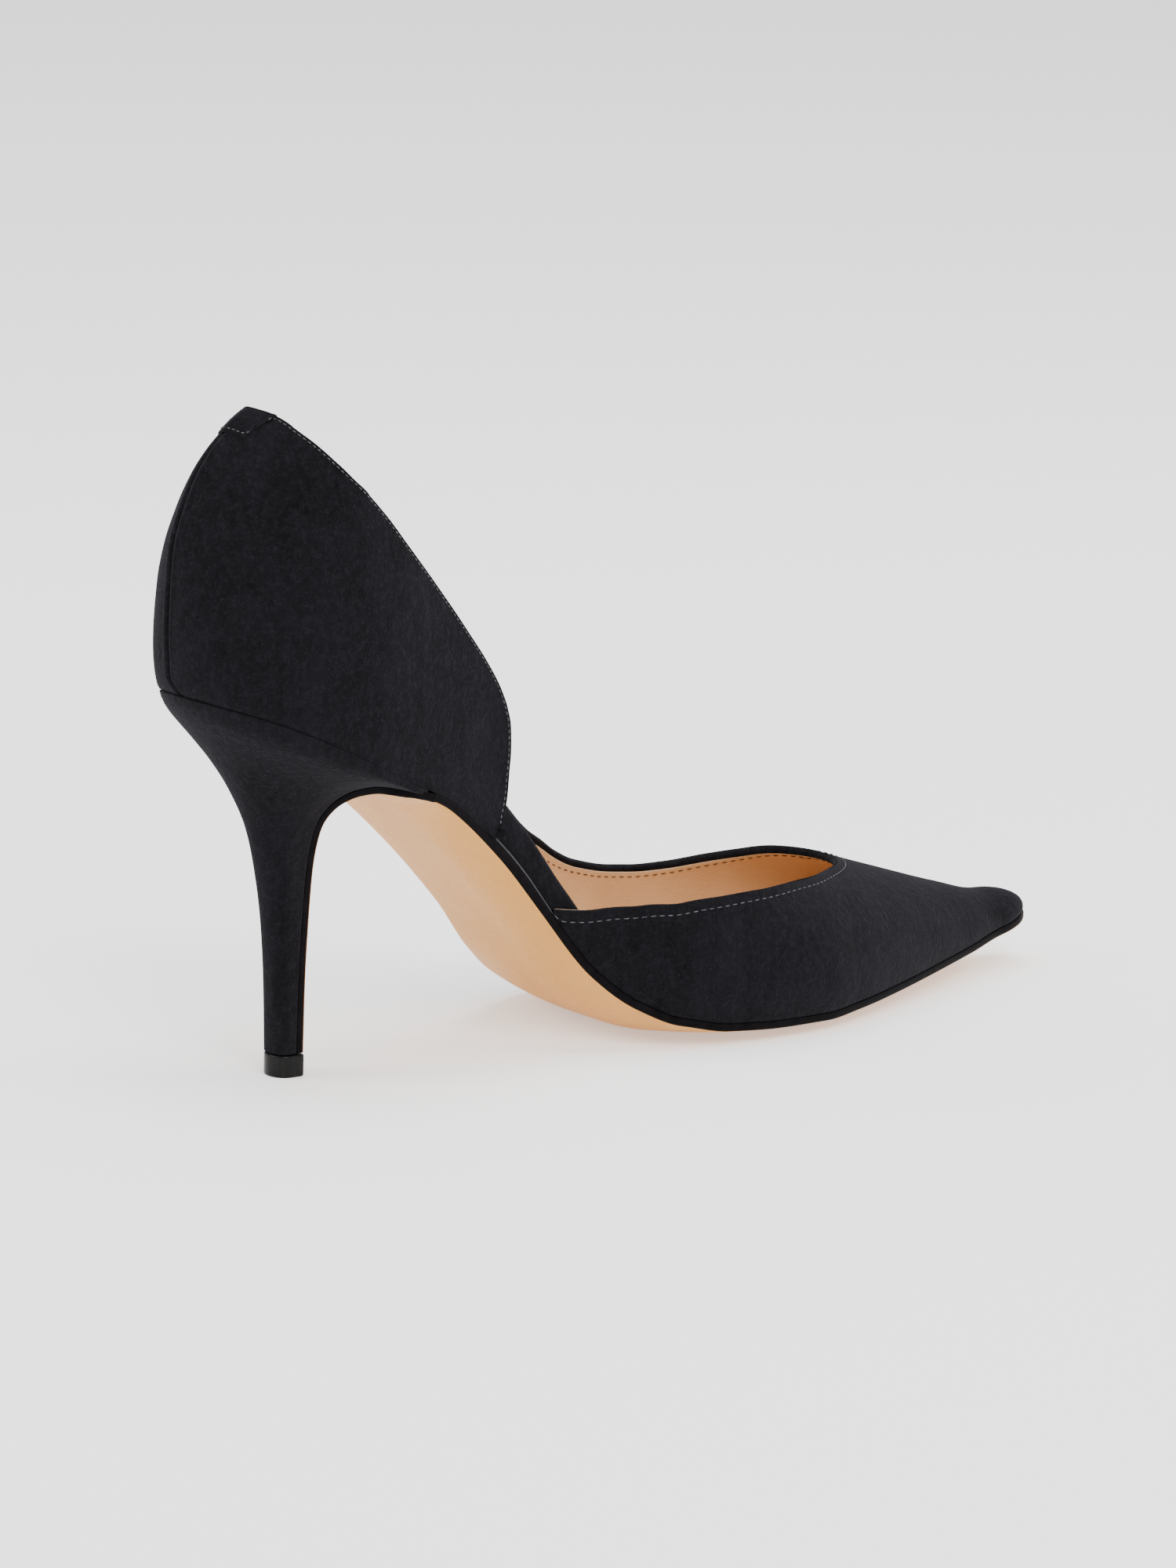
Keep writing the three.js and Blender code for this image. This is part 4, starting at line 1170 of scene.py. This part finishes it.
def top_piece():
    """The hard cap: its outline with rounded rims above and below."""
    end = heel_rings[-1]
    back_x = end[:, 0].min() - TOP_PIECE_OVERHANG
    front_x = float(breast_point(np.array(1.0), 0)[0]) + SOLE_THICKNESS + TOP_PIECE_OVERHANG
    half = heel.half(1) * BALL_WIDTH + TOP_PIECE_OVERHANG
    widest = heel.widest(1)
    along = half_ring(widest, 22, 10)
    width = np.where(along < widest, half * round_end((widest - along) / widest, HEEL_POWER), half)
    x = lerp(back_x, front_x, along)
    corner = 0.9
    keep = x < front_x - corner
    x, width = x[keep], width[keep]
    turn = np.linspace(0, math.pi / 2, 7)
    x = np.concatenate([x, front_x - corner + corner * np.sin(turn)])
    width = np.concatenate([width, half - corner + corner * np.cos(turn)])
    inner, outer = stack(x, -width, 0)[::-1], stack(x, width, 0)[1:]
    outline = np.concatenate([inner, outer])
    centre = outline.mean(axis=0)
    rim = 0.45
    bend = np.linspace(0, math.pi / 2, 6)
    levels = [(rim * (1 - math.sin(b)), rim * (1 - math.cos(b))) for b in bend]
    profile = [(inset, z) for inset, z in levels]
    profile += [(inset, TOP_PIECE_HEIGHT - z) for inset, z in reversed(levels)]
    rings = []
    for inset, z in profile:
        away = outline - centre
        reach = np.linalg.norm(away, axis=1, keepdims=True)
        ring = centre + away * (1 - inset / reach)
        ring[:, 2] = z
        rings.append(ring)
    low, high = centre.copy(), centre.copy()
    low[2], high[2] = 0, TOP_PIECE_HEIGHT
    rings = [np.tile(low, (len(outline), 1))] + rings + [np.tile(high, (len(outline), 1))]
    grid = np.stack(rings)
    grid = np.concatenate([grid, grid[:, :1]], axis=1)
    faces = quads(*grid.shape[:2])
    add_piece("top_piece_cap", grid.reshape(-1, 3), faces, gloss_black, "top_piece")


top_piece()


def add_floor():
    size = 6.0
    mesh = bpy.data.meshes.new("floor")
    mesh.from_pydata([(-size, -size, 0), (size, -size, 0), (size, size, 0), (-size, size, 0)], [], [(0, 1, 2, 3)])
    mesh.materials.append(Finish("white_floor", (0.9, 0.9, 0.9), 0.8, Specular_IOR_Level=0.1,
                                 Emission_Color=(1, 1, 1, 1), Emission_Strength=0.5).material)
    floor = bpy.data.objects.new("floor", mesh)
    bpy.context.scene.collection.objects.link(floor)


def add_light(name, place, size, power, target=(0, 0, 0.06)):
    data = bpy.data.lights.new(name, "AREA")
    data.shape = "DISK"
    data.size = size
    data.energy = power
    light = bpy.data.objects.new(name, data)
    bpy.context.scene.collection.objects.link(light)
    light.location = place
    light.rotation_euler = (Vector(target) - Vector(place)).to_track_quat("-Z", "Y").to_euler()


def add_world():
    world = bpy.data.worlds.new("studio")
    bpy.context.scene.world = world
    world.use_nodes = True
    background = world.node_tree.nodes["Background"]
    background.inputs["Color"].default_value = (1, 1, 1, 1)
    background.inputs["Strength"].default_value = 1.0


def add_camera():
    """The photograph's view: the angles round the shoe, in degrees, and the distance, in millimetres."""
    azimuth, elevation, roll = (math.radians(v) for v in (37.096, 12.151, 1.107))
    distance, focal_pixels, frame_height, sensor = 1800, 10279.3, 2000, 36
    target = np.array([112.782, 0, 55.490])
    backward = np.array([-math.sin(azimuth) * math.cos(elevation), -math.cos(azimuth) * math.cos(elevation),
                         math.sin(elevation)])
    right = np.array([math.cos(azimuth), -math.sin(azimuth), 0])
    up = np.cross(backward, right)
    rolled_right = right * math.cos(roll) + up * math.sin(roll)
    rolled_up = -right * math.sin(roll) + up * math.cos(roll)
    data = bpy.data.cameras.new("camera")
    data.sensor_width = sensor
    data.lens = focal_pixels / frame_height * sensor
    camera = bpy.data.objects.new("camera", data)
    bpy.context.scene.collection.objects.link(camera)
    place = to_metres(target + backward * distance)
    axes = np.stack([rolled_right, rolled_up, backward], axis=1)
    matrix = np.eye(4)
    matrix[:3, :3], matrix[:3, 3] = axes, place
    camera.matrix_world = [tuple(row) for row in matrix.T.tolist()]
    bpy.context.scene.camera = camera


add_floor()
add_world()
add_light("key", (-0.5, -1.3, 1.3), 1.0, 24)
add_light("top", (0.2, 0.2, 1.7), 1.4, 22)
add_light("toe_side", (1.2, -0.5, 0.7), 0.8, 9)
add_light("back_rim", (-1.1, 0.6, 0.8), 0.7, 8)
add_camera()
